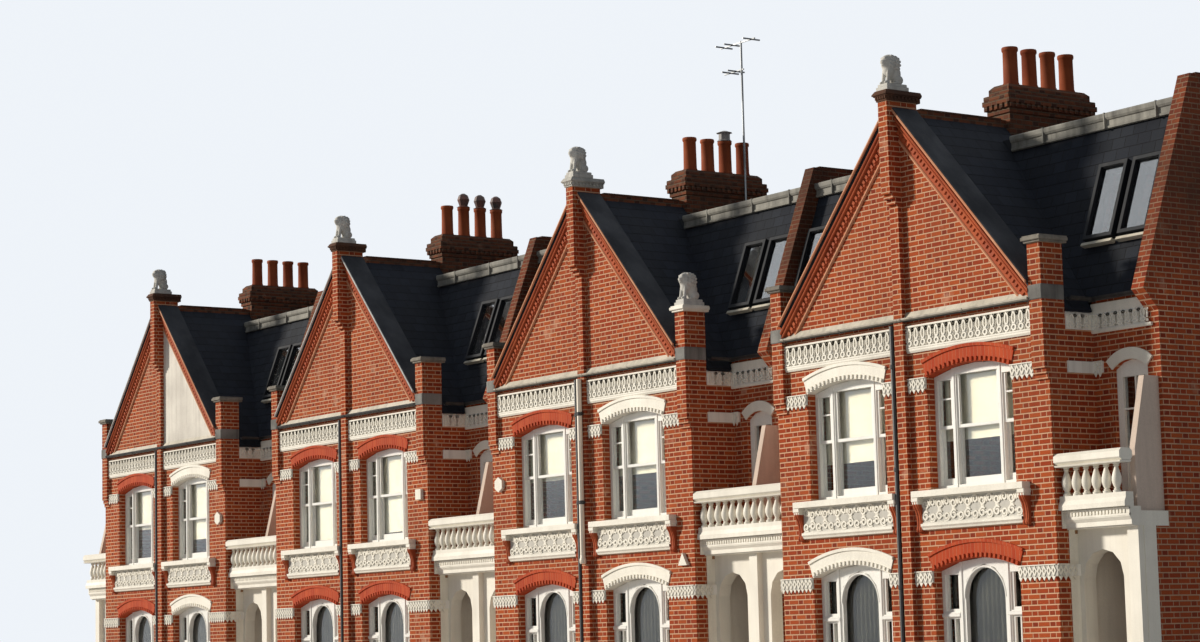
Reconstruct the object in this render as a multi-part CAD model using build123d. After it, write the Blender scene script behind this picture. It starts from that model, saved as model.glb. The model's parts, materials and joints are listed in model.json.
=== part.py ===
from build123d import *
import math
import os

# Terraced row of brick houses in mirrored pairs, each pair under one front gable.
# Millimetres, +Z up, the street front faces -Y and X runs along the row.
# The origin is on the ground at the middle of the row's plan.

# The row
pair_count = 4
gable_width = 5950.0
recess_width = 2250.0
house_depth = 8400.0
pair_pitch = gable_width + recess_width

# Walls
front_wall = 340.0
side_wall = 225.0
party_wall = 225.0
rear_wall = 225.0

# Floors
slab_thickness = 150.0
ground_storey = 3150.0
floor_thickness = 250.0
attic_floor_drop = 200.0
attic_floor_thickness = 200.0

# Recess between two gables, with porches below and a balcony above
recess_depth = 870.0
porch_depth = 1600.0
screen_set_back = 400.0
screen_thickness = 225.0
balcony_thickness = 200.0

# Front windows, upwards from the floor of each storey
window_width = 1770.0
window_from_centre = 470.0
lower_sill_height = 750.0
lower_window_height = 1740.0
lower_rise = 160.0
upper_sill_height = 490.0
upper_window_height = 1630.0
upper_rise = 140.0
ring_depth = 260.0
ring_proud = 15.0
sill_thickness = 90.0
sill_overhang = 265.0
sill_projection = 150.0
window_reveal = 150.0
frame_depth = 100.0
frame_width = 60.0
mullion_width = 90.0
side_light = 300.0
glass_thickness = 6.0

# Bands, friezes and aprons on the front
band_height = 160.0
band_projection = 30.0
frieze_gap = 40.0
frieze_height = 340.0
frieze_projection = 25.0
apron_panel_height = 380.0
apron_projection = 30.0
apron_moulding_height = 90.0
apron_moulding_projection = 70.0
bracket_height = 500.0
bracket_width = 110.0
bracket_projection = 125.0

# Front gable, over the friezes
gable_pitch = 47.5
gable_roof_thickness = 120.0
eaves_overhang = 60.0
apex_pier_width = 200.0
apex_pier_drop = 1340.0
apex_pier_projection = 145.0
apex_pier_rise = 190.0
apex_neck_height = 70.0
apex_slab_height = 30.0
apex_weathering_height = 60.0
apex_weathering_slope = 30.0
apex_cap_overhang = 65.0
pilaster_width = 190.0
pilaster_projection = 90.0

# Piers at the two corners of each gable
pier_width = 250.0
pier_projection = 80.0
pier_corbel_drop = 1100.0
corbel_course = 75.0
pier_seat_rise = 60.0
pier_rise = 790.0
pier_cap_height = 100.0
pier_cap_overhang = 65.0

# Rake moulding and coping
coping_thickness = 70.0
coping_projection = 150.0
rake_width = 300.0
rake_bead = 110.0
rake_projection = 110.0
rake_fillet = 25.0

# Main roof, over the friezes
wall_plate_rise = 100.0
mansard_pitch = 70.0
mansard_height = 2550.0
mansard_thickness = 150.0
flat_roof_thickness = 200.0
curb_thickness = 40.0
curb_upstand = 30.0
upstand_proud = 250.0
upstand_height = 300.0
upstand_corbel = 280.0
ridge_upstand = 115.0

# Roof windows
roof_window_width = 560.0
roof_window_length = 1180.0
roof_window_frame = 55.0
roof_window_proud = 120.0
roof_window_gap = 110.0
roof_window_rise = 850.0

# Chimney stacks on the gable party walls
stack_width = 440.0
stack_length = 1700.0
stack_set_back = 2100.0
stack_neck = 110.0
stack_corbels = 3
stack_overhang = 75.0
stack_head = 175.0
flaunching_height = 60.0
pot_count = 4
pot_spacing = 390.0
pot_radius = 140.0
pot_waist = 118.0
pot_wall = 25.0
pot_height = 600.0
pot_rim = 80.0
pot_sides = 8

# Cowls and aerial
ball_cowl_radius = 125.0
ball_cowl_gap = 30.0
disc_cowl_radius = 150.0
disc_cowl_height = 190.0
mast_radius = 20.0
mast_height = 2450.0
mast_foot_rise = 300.0
upper_boom = 1000.0
lower_boom = 560.0
lower_boom_drop = 520.0
boom_thickness = 24.0
boom_rod = 380.0

# Lions
lion_height = 450.0
lion_plinth_height = 100.0
lion_plinth_width = 260.0
lion_plinth_length = 420.0

# Balcony over the porches
cornice_drop = 180.0
cornice_rise = 60.0
cornice_depth = 220.0
cornice_set_back = 140.0
cornice_cover = 70.0
plinth_height = 190.0
plinth_depth = 170.0
plinth_set_back = 60.0
baluster_height = 420.0
baluster_radius = 70.0
baluster_neck = 30.0
baluster_sides = 6
balusters_per_house = 6
rail_height = 160.0
rail_depth = 240.0
divider_thickness = 100.0
divider_height = 1820.0
divider_head = 270.0

# Porches
respond_width = 80.0
porch_spring_height = 2300.0
porch_pier_width = 430.0
porch_pilaster_width = 200.0
porch_pilaster_projection = 100.0

# Doors
balcony_door_width = 650.0
balcony_door_gap = 17.5
balcony_door_height = 1980.0
balcony_door_rise = 120.0
balcony_door_panel = 900.0
door_ring_depth = 170.0
door_ring_proud = 25.0
front_door_width = 840.0
front_door_height = 2050.0
fanlight_height = 400.0
door_thickness = 45.0
door_frame_width = 55.0
door_frame_depth = 90.0

# Rainwater goods
gutter_width = 120.0
gutter_height = 90.0
gutter_wall = 8.0
gutter_gap = 25.0
pipe_radius = 38.0
pipe_sides = 8
pipe_from_centre = 165.0
waste_pipe_radius = 45.0
pipe_clearance = 5.0
pipe_foot = 90.0

# Alarm boxes on the gable fronts
alarm_width = 270.0
alarm_depth = 60.0
hexagon = 6
square = 4
triangle = 3

# Rear of the houses
rear_window_width = 1100.0
rear_window_height = 1450.0
rear_lower_sill_height = 900.0
rear_upper_sill_height = 850.0
rear_door_width = 840.0
rear_door_height = 2150.0
rear_sill_projection = 50.0

# Flats that stand for one curve: a segmental arch and a round one
segmental_flats = 4
round_flats = 6

# Places across the row and from front to rear
front = -house_depth / 2
rear = house_depth / 2
front_inner = front + front_wall
rear_inner = rear - rear_wall
half_gable = gable_width / 2
half_pitch = pair_pitch / 2
half_party = party_wall / 2
party_face = half_pitch - half_party
side_inner = half_gable - side_wall
recess_face = front + recess_depth
recess_inner = recess_face + side_wall
entrance_face = front + porch_depth
entrance_inner = entrance_face + side_wall
screen_face = front + screen_set_back
screen_inner = screen_face + screen_thickness
half_row = pair_count * pair_pitch / 2
row_end = half_row + half_party
gable_centres = [(i + 0.5) * pair_pitch - half_row for i in range(pair_count)]
recess_centres = [i * pair_pitch - half_row for i in range(pair_count + 1)]
window_centre = window_from_centre + window_width / 2
sill_width = window_width + 2 * sill_overhang
balcony_door_centre = party_face - balcony_door_gap - balcony_door_width / 2
stack_front = front + stack_set_back
stack_rear = stack_front + stack_length

# Levels
ground_floor = slab_thickness
first_floor = ground_floor + ground_storey
ceiling = first_floor - floor_thickness
balcony_bottom = first_floor - balcony_thickness
lower_sill = ground_floor + lower_sill_height
lower_spring = lower_sill + lower_window_height
upper_sill = first_floor + upper_sill_height
upper_spring = upper_sill + upper_window_height
upper_crown = upper_spring + upper_rise
frieze_bottom = upper_crown + ring_depth + frieze_gap
frieze_top = frieze_bottom + frieze_height
gutter_bottom = frieze_top + gutter_gap
mansard_base = frieze_top + wall_plate_rise
attic_floor = mansard_base - attic_floor_drop
flat_roof_bottom = mansard_base + mansard_height
flat_roof_top = flat_roof_bottom + flat_roof_thickness
upstand_top = flat_roof_top + upstand_height
gable_slope = math.tan(math.radians(gable_pitch))
mansard_slope = math.tan(math.radians(mansard_pitch))
upstand_reach = upstand_proud / math.sin(math.radians(mansard_pitch))
gable_ridge = frieze_top + half_gable * gable_slope
ridge_upstand_top = gable_ridge - gable_slope * half_party + ridge_upstand
apex_seat = gable_ridge - gable_slope * apex_pier_width / 2
apex_foot = apex_seat - apex_pier_drop
apex_pier_top = apex_seat + apex_pier_rise
apex_cap_top = apex_pier_top + apex_neck_height + apex_slab_height + apex_weathering_height
apex_face = front - pilaster_projection - apex_pier_projection
pier_seat = frieze_top + pier_seat_rise
pier_foot = pier_seat - pier_corbel_drop
pier_top = pier_seat + pier_rise
pier_cap_top = pier_top + pier_cap_height
band_bottom = ridge_upstand_top + stack_neck
band_top = band_bottom + stack_corbels * corbel_course
stack_top = band_top + stack_head
pot_foot = stack_top + flaunching_height
cornice_bottom = first_floor - cornice_drop
cornice_top = first_floor + cornice_rise
plinth_top = cornice_top + plinth_height
rail_bottom = plinth_top + baluster_height
rail_top = rail_bottom + rail_height
porch_spring = ground_floor + porch_spring_height
balcony_door_spring = first_floor + balcony_door_height
window_levels = [(lower_sill, lower_spring, lower_rise), (upper_sill, upper_spring, upper_rise)]
front_door_head = ground_floor + front_door_height + fanlight_height
rear_lower_sill = ground_floor + rear_lower_sill_height
rear_upper_sill = first_floor + rear_upper_sill_height


def block(x0, x1, y0, y1, z0, z1):
    """A box between two opposite corners."""
    return Pos(x0, y0, z0) * Box(x1 - x0, y1 - y0, z1 - z0, align=Align.MIN)


def along_x(points, x0, x1):
    """A profile of (y, z) points run from x0 to x1."""
    outline = Polyline([(x0, y, z) for y, z in points], close=True)
    return extrude(make_face(outline), amount=x1 - x0, dir=(1, 0, 0))


def along_y(points, y0, y1):
    """A profile of (x, z) points run from y0 to y1."""
    outline = Polyline([(x, y0, z) for x, z in points], close=True)
    return extrude(make_face(outline), amount=y1 - y0, dir=(0, 1, 0))


def along_z(points, z0, z1):
    """A plan of (x, y) points raised from z0 to z1."""
    outline = Polyline([(x, y, z0) for x, y in points], close=True)
    return extrude(make_face(outline), amount=z1 - z0, dir=(0, 0, 1))


def mirrored(shape):
    """The same piece on the other house of the pair."""
    return mirror(shape, about=Plane.YZ)


def each_house(shapes):
    """Copies for both houses of every pair, from the right-hand house of a pair at the origin."""
    both = [s for shape in shapes for s in (shape, mirrored(shape))]
    return [Pos(x, 0, 0) * s for x in gable_centres for s in both]


def each_gable(shapes):
    """Copies for every pair, from pieces on the centre line of a pair at the origin."""
    return [Pos(x, 0, 0) * shape for x in gable_centres for shape in shapes]


def each_recess():
    """The two ends in X of every recess, the outer two cut off at the row's end walls."""
    for x in recess_centres:
        yield max(x - recess_width / 2, -row_end), min(x + recess_width / 2, row_end)


def gable_height(x):
    """Height of the gable's sloping line at a distance x from its centre."""
    return gable_ridge - gable_slope * x


def mansard_y(z):
    """Front face of the mansard at the height z."""
    return recess_face + (z - mansard_base) / mansard_slope


def write(name, shapes):
    """One file for one named piece, of one or more solids."""
    solids = [s for shape in shapes for s in shape.solids()]
    export_step(Compound(children=solids), "parts/" + name + ".step")


def arc_points(x, half, spring, rise, flats):
    """Points of a segmental or round head from its right springing to its left one."""
    radius = (half ** 2 + rise ** 2) / (2 * rise)
    centre = spring + rise - radius
    sweep = math.atan2(half, radius - rise)
    turns = [sweep * (1 - 2 * i / flats) for i in range(flats + 1)]
    return [(x + radius * math.sin(a), centre + radius * math.cos(a)) for a in turns]


def arched_opening(x, width, bottom, spring, rise, y0, y1, flats=segmental_flats):
    """The space of an opening with an arched head."""
    half = width / 2
    points = [(x - half, bottom), (x + half, bottom)] + arc_points(x, half, spring, rise, flats)
    return along_y(points, y0, y1)


def arch_ring(x, width, spring, rise, depth, y0, y1):
    """The ring of a segmental arch, with its ends cut on the radius."""
    inner = arc_points(x, width / 2, spring, rise, segmental_flats)
    radius = (width ** 2 / 4 + rise ** 2) / (2 * rise)
    centre = spring + rise - radius
    stretch = (radius + depth) / radius
    outer = [(x + (px - x) * stretch, centre + (pz - centre) * stretch) for px, pz in inner]
    return along_y(inner + outer[::-1], y0, y1)


def front_openings(y0, y1):
    """Window spaces and arch beds of one house's half of the gable front."""
    x = window_centre
    spaces = []
    for sill, spring, rise in window_levels:
        spaces.append(arched_opening(x, window_width, sill - sill_thickness, spring, rise, y0, y1))
        spaces.append(arch_ring(x, window_width, spring, rise, ring_depth, y0, y1))
    return spaces


def gable_front():
    """Front wall of a pair: two storeys and the gable, with its windows cut through."""
    shoulder = half_gable - pier_width
    tip = apex_pier_width / 2
    right = [(half_gable, ground_floor), (half_gable, pier_seat), (shoulder, pier_seat),
             (shoulder, gable_height(shoulder)), (tip, gable_height(tip))]
    left = [(-x, z) for x, z in reversed(right)]
    wall = along_y(right + left, front, front_inner)
    for space in front_openings(front, front_inner):
        wall = wall - space - mirrored(space)
    return wall


def rake():
    """Moulding on the face of the gable and the coping over it, on its right-hand slope."""
    angle = math.radians(gable_pitch)
    down_slope = (math.cos(angle), 0, -math.sin(angle))
    off_slope = (math.sin(angle), 0, math.cos(angle))
    plane = Plane(origin=(0, front, gable_ridge), x_dir=off_slope, z_dir=down_slope)
    profile = [(0, -front_wall), (coping_thickness, -front_wall), (coping_thickness, coping_projection),
               (coping_thickness / 3, coping_projection), (0, rake_projection),
               (-rake_bead, rake_projection), (-rake_width + rake_bead, rake_projection / 2),
               (-rake_width + rake_bead, rake_fillet), (-rake_width, rake_fillet), (-rake_width, 0), (0, 0)]
    length = half_gable / math.cos(angle) + rake_width
    bar = extrude(plane * make_face(Polyline(profile, close=True)), amount=length, both=True)
    ends = block(apex_pier_width / 2, half_gable - pier_width, front - gable_width, rear,
                 gutter_bottom + gutter_height, 2 * gable_ridge)
    return bar & ends


def gable_roof():
    """Right-hand slope of the roof behind a gable, cut where it meets the mansard."""
    drop = gable_roof_thickness / math.cos(math.radians(gable_pitch))
    edge = half_gable + eaves_overhang
    seat = attic_floor
    foot = (gable_ridge - drop - seat) / gable_slope
    profile = [(half_party, gable_height(half_party)), (edge, gable_height(edge)), (edge, seat),
               (foot, seat), (half_party, gable_height(half_party) - drop)]
    roof = along_y(profile, front_inner, stack_front)
    reach = [(front_inner, seat), (mansard_y(seat), seat), (mansard_y(flat_roof_bottom), flat_roof_bottom),
             (mansard_y(flat_roof_bottom), flat_roof_top), (stack_front, flat_roof_top),
             (stack_front, gable_ridge), (front_inner, gable_ridge)]
    return roof & along_x(reach, 0, edge)


def roof_window_places():
    """Middles in X of the two roof windows of a house, beside the party wall."""
    first = party_face - roof_window_gap - roof_window_width / 2
    return [first, first - roof_window_gap - roof_window_width]


def rear_roof_window_place():
    """Middle in X of the one roof window on the rear slope of a house."""
    return half_pitch / 2


def roof_window_plane(x):
    """Plane of the front mansard at the middle of a roof window."""
    angle = math.radians(mansard_pitch)
    z = mansard_base + roof_window_rise + roof_window_length / 2 * math.sin(angle)
    return Plane(origin=(x, mansard_y(z), z), x_dir=(1, 0, 0), z_dir=(0, -math.sin(angle), math.cos(angle)))


def roof_window_block(x, inset, low, high):
    """A block in a roof window's plane, between two heights off the slope."""
    size = Box(roof_window_width - 2 * inset, roof_window_length - 2 * inset, high - low)
    return roof_window_plane(x) * Pos(0, 0, (low + high) / 2) * size


def roof_window_frame_piece(x):
    """Raised box frame of a roof window."""
    outer = roof_window_block(x, 0, -mansard_thickness, roof_window_proud)
    return outer - roof_window_block(x, roof_window_frame, -2 * mansard_thickness, 2 * roof_window_proud)


def roof_window_pane(x):
    """Glass of a roof window, let into its frame."""
    middle = roof_window_proud / 2
    return roof_window_block(x, roof_window_frame, middle, middle + glass_thickness)


def mansard_slab():
    """Steep front slope of one house, from the wall top to the flat roof."""
    inward = mansard_thickness / math.sin(math.radians(mansard_pitch))
    profile = [(mansard_y(mansard_base), mansard_base), (mansard_y(flat_roof_bottom), flat_roof_bottom),
               (mansard_y(flat_roof_bottom) + inward, flat_roof_bottom),
               (mansard_y(mansard_base) + inward, mansard_base)]
    return along_x(profile, half_party, party_face)


def front_mansard():
    """Front slope of one house, cut off along the valley of the gable roof and for its windows."""
    valley_foot = (gable_ridge - mansard_base) / gable_slope
    valley_top = (gable_ridge - flat_roof_bottom) / gable_slope
    panel = [(valley_foot, mansard_base), (party_face, mansard_base), (party_face, flat_roof_bottom),
             (valley_top, flat_roof_bottom)]
    slope = mansard_slab() & along_y(panel, front, 0)
    for x in roof_window_places():
        slope -= roof_window_block(x, 0, -2 * mansard_thickness, roof_window_proud)
    return slope


def to_rear(shape):
    """The same piece turned to the rear slope, whose foot is on the rear wall."""
    return Pos(0, recess_face + rear, 0) * mirror(shape, about=Plane.XZ)


def rear_mansard():
    """Rear slope of one house, cut for its windows."""
    window = roof_window_block(rear_roof_window_place(), 0, -2 * mansard_thickness, roof_window_proud)
    return to_rear(mansard_slab() - window)


def party_profile(top, front_points):
    """Side outline of a party wall, from its front points over the roof to the rear wall."""
    rear_top = rear + upstand_reach - (top - mansard_base) / mansard_slope
    return front_points + [(rear_top, top), (rear + upstand_reach, mansard_base),
                           (rear, mansard_base - upstand_corbel), (rear, ground_floor)]


def recess_party_walls():
    """Walls between the pairs and at the row's ends, standing up through the roof."""
    front_points = [(screen_inner, ground_floor), (screen_inner, balcony_bottom),
                    (recess_face, balcony_bottom), (recess_face, first_floor), (recess_inner, first_floor),
                    (recess_inner, mansard_base), (recess_face, mansard_base),
                    (recess_face, mansard_base - upstand_corbel),
                    (recess_face - upstand_reach, mansard_base),
                    (mansard_y(upstand_top) - upstand_reach, upstand_top)]
    profile = party_profile(upstand_top, front_points)
    return [along_x(profile, x - half_party, x + half_party) for x in recess_centres]


def chimney_party_walls():
    """Walls between the two houses of each pair, standing up along the gable roof's ridge."""
    front_points = [(front_inner, ground_floor), (front_inner, ridge_upstand_top)]
    profile = party_profile(ridge_upstand_top, front_points)
    return each_gable([along_x(profile, -half_party, half_party)])


def chimney_stack():
    """Stack astride the party wall, with corbelled courses and a weathered top."""
    half = stack_width / 2
    side = [(half_party, ridge_upstand_top), (half_party, flat_roof_top), (half, flat_roof_top),
            (half, stack_top)]
    stack = along_y(side + [(-x, z) for x, z in reversed(side)], stack_front, stack_rear)
    for i in range(stack_corbels):
        over = stack_overhang * (i + 1) / stack_corbels
        foot = band_bottom + i * corbel_course
        stack += block(-half - over, half + over, stack_front - over, stack_rear + over, foot,
                       foot + corbel_course)
    top = Pos(0, (stack_front + stack_rear) / 2, stack_top) * Rectangle(stack_width, stack_length)
    return stack + extrude(top, amount=flaunching_height, taper=45)


def turned(x, y, rings, sides):
    """A many-sided turned piece through rings of (radius, height), every side of it flat."""
    turns = [2 * math.pi * (i + 0.5) / sides for i in range(sides)]
    loops = [[(x + r * math.sin(a), y + r * math.cos(a), z) for a in turns] for r, z in rings]
    faces = [Face(Wire.make_polygon(loops[0], close=True)), Face(Wire.make_polygon(loops[-1], close=True))]
    for low, high in zip(loops, loops[1:]):
        for i in range(sides):
            j = (i + 1) % sides
            faces.append(Face(Wire.make_polygon([low[i], low[j], high[j], high[i]], close=True)))
    return Solid(Shell(faces))


def pot_places():
    """Middles in Y of the pots on a stack, from the street back."""
    middle = (stack_front + stack_rear) / 2
    return [middle + (i - (pot_count - 1) / 2) * pot_spacing for i in range(pot_count)]


def pot(y):
    """A clay pot with a thick rim, open from end to end."""
    top = pot_foot + pot_height
    outer = turned(0, y, [(pot_radius, pot_foot), (pot_waist, top - pot_rim), (pot_radius, top)], pot_sides)
    bore = pot_waist - pot_wall
    return outer - turned(0, y, [(bore, pot_foot), (bore, top)], pot_sides)


def ball_cowl(y):
    """Round wire-and-metal cowl standing on a pot's rim."""
    foot = pot_foot + pot_height
    middle = foot + ball_cowl_gap + ball_cowl_radius
    r = ball_cowl_radius
    return turned(0, y, [(pot_radius, foot), (0.6 * pot_radius, foot + ball_cowl_gap), (r, middle),
                         (0.75 * r, middle + 0.7 * r), (0.3 * r, middle + r)], pot_sides)


def disc_cowl(y):
    """Flat rain cap carried over a pot on a cage."""
    foot = pot_foot + pot_height
    rim = foot + disc_cowl_height
    return turned(0, y, [(pot_radius, foot), (0.7 * disc_cowl_radius, foot + disc_cowl_height / 5),
                         (0.7 * disc_cowl_radius, rim - disc_cowl_height / 5),
                         (disc_cowl_radius, rim - disc_cowl_height / 5), (0.3 * disc_cowl_radius, rim)],
                  pot_sides)


def rod(x, y, z, length, along):
    """A thin square rod centred on a point, along X or along Y."""
    t = boom_thickness
    if along == "x":
        return block(x - length / 2, x + length / 2, y - t / 2, y + t / 2, z - t / 2, z + t / 2)
    return block(x - t / 2, x + t / 2, y - length / 2, y + length / 2, z - t / 2, z + t / 2)


def tv_aerial():
    """Mast strapped to the side of a stack, with two booms and their main rods."""
    x = stack_width / 2 + stack_overhang + mast_radius
    y = (pot_places()[2] + pot_places()[3]) / 2
    foot = flat_roof_top + mast_foot_rise
    top = stack_top + mast_height
    mast = turned(x, y, [(mast_radius, foot), (mast_radius, top)], pot_sides)
    bracket = block(stack_width / 2, x, y - mast_radius, y + mast_radius, foot, foot + corbel_course)
    aerial = mast + bracket
    upper = top - boom_thickness
    aerial += rod(x - upper_boom * 0.1, y, upper, upper_boom, "x")
    for share in (-0.5, -0.25, 0.3):
        aerial += rod(x + share * upper_boom, y, upper, boom_rod, "y")
    lower = top - lower_boom_drop
    aerial += rod(x - lower_boom * 0.4, y, lower, lower_boom, "x")
    for share in (-0.6, -0.3):
        aerial += rod(x + share * lower_boom, y, lower, boom_rod, "y")
    return aerial


def centre_pilaster():
    """Narrow pilaster up the middle of the gable front."""
    half = pilaster_width / 2
    return block(-half, half, front - pilaster_projection, front, 0, apex_foot)


def corbelled_pier(face, projection, foot, top, seat):
    """Side outline of a pier that steps out from a face in three courses and ends over a wall."""
    step = projection / 3
    points = [(front, foot)]
    for i in range(3):
        points.append((face - (i + 1) * step, foot + i * corbel_course))
        points.append((face - (i + 1) * step, foot + (i + 1) * corbel_course))
    points[-1] = (face - projection, top)
    return points + [(front_inner, top), (front_inner, seat), (front, seat)]


def apex_pier():
    """Pier corbelled out over the pilaster and carried up through the gable's point."""
    profile = corbelled_pier(front - pilaster_projection, apex_pier_projection, apex_foot, apex_pier_top,
                             apex_seat)
    return along_x(profile, -apex_pier_width / 2, apex_pier_width / 2)


def apex_cap():
    """Cap of the apex pier: a neck, a thin slab and a sloping top."""
    half = apex_pier_width / 2
    over = apex_cap_overhang
    neck_top = apex_pier_top + apex_neck_height
    slab_top = neck_top + apex_slab_height
    neck = block(-half - over / 3, half + over / 3, apex_face - over / 3, front_inner + over / 3,
                 apex_pier_top, neck_top)
    slab = block(-half - over, half + over, apex_face - over, front_inner + over, neck_top, slab_top)
    plan = Rectangle(apex_pier_width + 2 * over, front_inner - apex_face + 2 * over)
    middle = Pos(0, (apex_face + front_inner) / 2, slab_top)
    return neck + slab + extrude(middle * plan, amount=apex_weathering_height, taper=apex_weathering_slope)


def side_pier():
    """Corner pier of the gable, corbelled off the wall and standing up above the eaves."""
    profile = corbelled_pier(front, pier_projection, pier_foot, pier_top, pier_seat)
    return along_x(profile, half_gable - pier_width, half_gable)


def side_pier_cap():
    """Overhanging slab on a corner pier."""
    over = pier_cap_overhang
    return block(half_gable - pier_width - over, half_gable + over, front - pier_projection - over,
                 front_inner + over, pier_top, pier_cap_top)


def lion(x, face, foot):
    """Seated lion facing the street on its plinth: body, head and muzzle."""
    h = lion_height
    y = face + lion_plinth_length / 2
    base = foot + lion_plinth_height
    plinth = block(x - lion_plinth_width / 2, x + lion_plinth_width / 2, face, face + lion_plinth_length,
                   foot, base)
    shoulder, chin, brow, crown = base + 0.3 * h, base + 0.58 * h, base + 0.8 * h, base + h
    body = turned(x, y + 0.05 * h, [(0.28 * h, base), (0.24 * h, shoulder), (0.14 * h, chin + 0.1 * h)], 6)
    head = turned(x, y - 0.12 * h, [(0.14 * h, chin), (0.2 * h, brow), (0.09 * h, crown)], 6)
    reach = 0.08 * h
    muzzle = block(x - reach, x + reach, y - 0.38 * h, y - 0.2 * h, chin + 0.1 * h, brow)
    return plinth + body + head + muzzle


def front_window(sill, spring, rise, round_light):
    """Three-light window frame standing on the sill, its middle light round-headed or square."""
    y0 = front + window_reveal
    y1 = y0 + frame_depth
    x = window_centre
    frame = arched_opening(x, window_width, sill, spring, rise, y0, y1)
    bottom = sill + frame_width
    for side in (-1, 1):
        middle = x + side * (window_width - 2 * frame_width - side_light) / 2
        frame -= block(middle - side_light / 2, middle + side_light / 2, y0, y1, bottom, spring - frame_width)
    width = window_width - 2 * (frame_width + side_light + mullion_width)
    crown = spring + rise - 1.5 * frame_width
    if round_light:
        return frame - arched_opening(x, width, bottom, crown - width / 2, width / 2, y0, y1, round_flats)
    return frame - block(x - width / 2, x + width / 2, y0, y1, bottom, crown - rise / 3)


def front_pane(sill, spring, rise):
    """One sheet of glass behind the lights of a front window."""
    y0 = front + window_reveal + frame_depth
    lift = frame_width / 2
    return arched_opening(window_centre, window_width - frame_width, sill + lift, spring - lift, rise, y0,
                          y0 + glass_thickness)


def window_sill(bottom):
    """Stone sill, wider than the opening in front of the wall and let through it behind."""
    wide, narrow = sill_width / 2, window_width / 2
    right = [(window_centre + wide, front - sill_projection), (window_centre + wide, front),
             (window_centre + narrow, front), (window_centre + narrow, front_inner)]
    left = [(2 * window_centre - x, y) for x, y in reversed(right)]
    return along_z(right + left, bottom - sill_thickness, bottom)


def apron_brackets():
    """Consoles under the two ends of an upper sill."""
    top = upper_sill - sill_thickness
    foot = top - bracket_height
    profile = [(front, foot), (front - bracket_projection / 3, foot),
               (front - bracket_projection / 2, foot + bracket_height / 4),
               (front - bracket_projection, top - bracket_height / 4), (front - bracket_projection, top),
               (front, top)]
    reach = sill_width / 2
    left = along_x(profile, window_centre - reach, window_centre - reach + bracket_width)
    right = along_x(profile, window_centre + reach - bracket_width, window_centre + reach)
    return [left, right]


def apron_panel():
    """Panel and moulding between the consoles, in one outline."""
    reach = sill_width / 2 - bracket_width
    top = upper_sill - sill_thickness
    bottom = top - apron_panel_height
    foot = bottom - apron_moulding_height
    lip = front - apron_moulding_projection
    face = front - apron_projection
    profile = [(front, top), (front, foot), (face, foot), (lip, bottom - apron_moulding_height / 3),
               (lip, bottom), (face, bottom), (face, top)]
    return along_x(profile, window_centre - reach, window_centre + reach)


def string_bands():
    """Bands at the springing of both storeys' arches, round the front, the side wall and the recess."""
    inner = (pilaster_width / 2, window_from_centre)
    outer = window_from_centre + window_width
    face = front - band_projection
    side = half_gable + band_projection
    door_ring = balcony_door_centre - balcony_door_width / 2 - door_ring_depth
    low, high = lower_spring - band_height, lower_spring
    bands = [block(inner[0], inner[1], face, front, low, high)]
    bands.append(along_z([(outer, front), (outer, face), (side, face), (side, screen_face),
                          (half_gable, screen_face), (half_gable, front)], low, high))
    low, high = upper_spring - band_height, upper_spring
    bands.append(block(inner[0], inner[1], face, front, low, high))
    bands.append(block(outer, half_gable - pier_width, face, front, low, high))
    back = recess_face - band_projection
    bands.append(along_z([(half_gable, front_inner), (side, front_inner), (side, back), (door_ring, back),
                          (door_ring, recess_face), (half_gable, recess_face)], low, high))
    return bands


def friezes():
    """Ornamented band below the gutter on the front, and below the eaves round the recess."""
    side = half_gable + frieze_projection
    back = recess_face - frieze_projection
    straight = block(pilaster_width / 2, half_gable - pier_width, front - frieze_projection, front,
                     frieze_bottom, frieze_top)
    return [straight, along_z([(half_gable, front_inner), (side, front_inner), (side, back),
                               (party_face, back), (party_face, recess_face), (half_gable, recess_face)],
                              frieze_bottom, attic_floor)]


def gutter_profile(face, away):
    """Open trough hung on a wall face, away from it by -1 towards the street or 1 towards the rear."""
    lip = face + away * gutter_width
    wall = away * gutter_wall
    low, high = gutter_bottom, gutter_bottom + gutter_height
    foot = lip - away * gutter_width / 5
    bed = low + gutter_wall
    return [(face, high), (face, low), (foot, low), (lip, high), (lip - wall, high), (foot - wall, bed),
            (face + wall, bed), (face + wall, high)]


def gutters():
    """Gutters of one house: at the foot of the gable, in the recess and along the rear."""
    return [along_x(gutter_profile(front, -1), pilaster_width / 2, half_gable - pier_width),
            along_x(gutter_profile(recess_face, -1), half_gable, party_face),
            along_x(gutter_profile(rear, 1), half_party, party_face)]


def pipe(x, y, radius, foot):
    """Round pipe hanging from a gutter."""
    return turned(x, y, [(radius, foot), (radius, gutter_bottom)], pipe_sides)


def downpipes():
    """Pipe beside the pilaster on the front of a pair and one on its rear wall."""
    street = front - band_projection - pipe_clearance - pipe_radius
    garden = rear + pipe_clearance + pipe_radius
    return [pipe(-pipe_from_centre, street, pipe_radius, pipe_foot),
            pipe(pipe_from_centre, garden, pipe_radius, pipe_foot)]


def waste_pipe():
    """Wider pipe in front of one pilaster, ending at the first floor."""
    y = front - pilaster_projection - waste_pipe_radius * math.cos(math.pi / pipe_sides)
    return pipe(0, y, waste_pipe_radius, first_floor - cornice_drop)


def porch_arch():
    """Arched head of one porch, springing from the responds."""
    x0, x1 = half_gable, half_pitch - porch_pier_width / 2
    head = block(x0, x1, screen_face, screen_inner, porch_spring, balcony_bottom)
    half = (x1 - x0) / 2 - respond_width
    curve = arc_points((x0 + x1) / 2, half, porch_spring, half, round_flats)
    space = along_y(curve, screen_face, screen_inner)
    return head - space


def porch_responds():
    """Slim piers that carry the two ends of one porch's arch."""
    x0, x1 = half_gable, half_pitch - porch_pier_width / 2
    return [block(x0, x0 + respond_width, screen_face, screen_inner, ground_floor, porch_spring),
            block(x1 - respond_width, x1, screen_face, screen_inner, ground_floor, porch_spring)]


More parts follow.
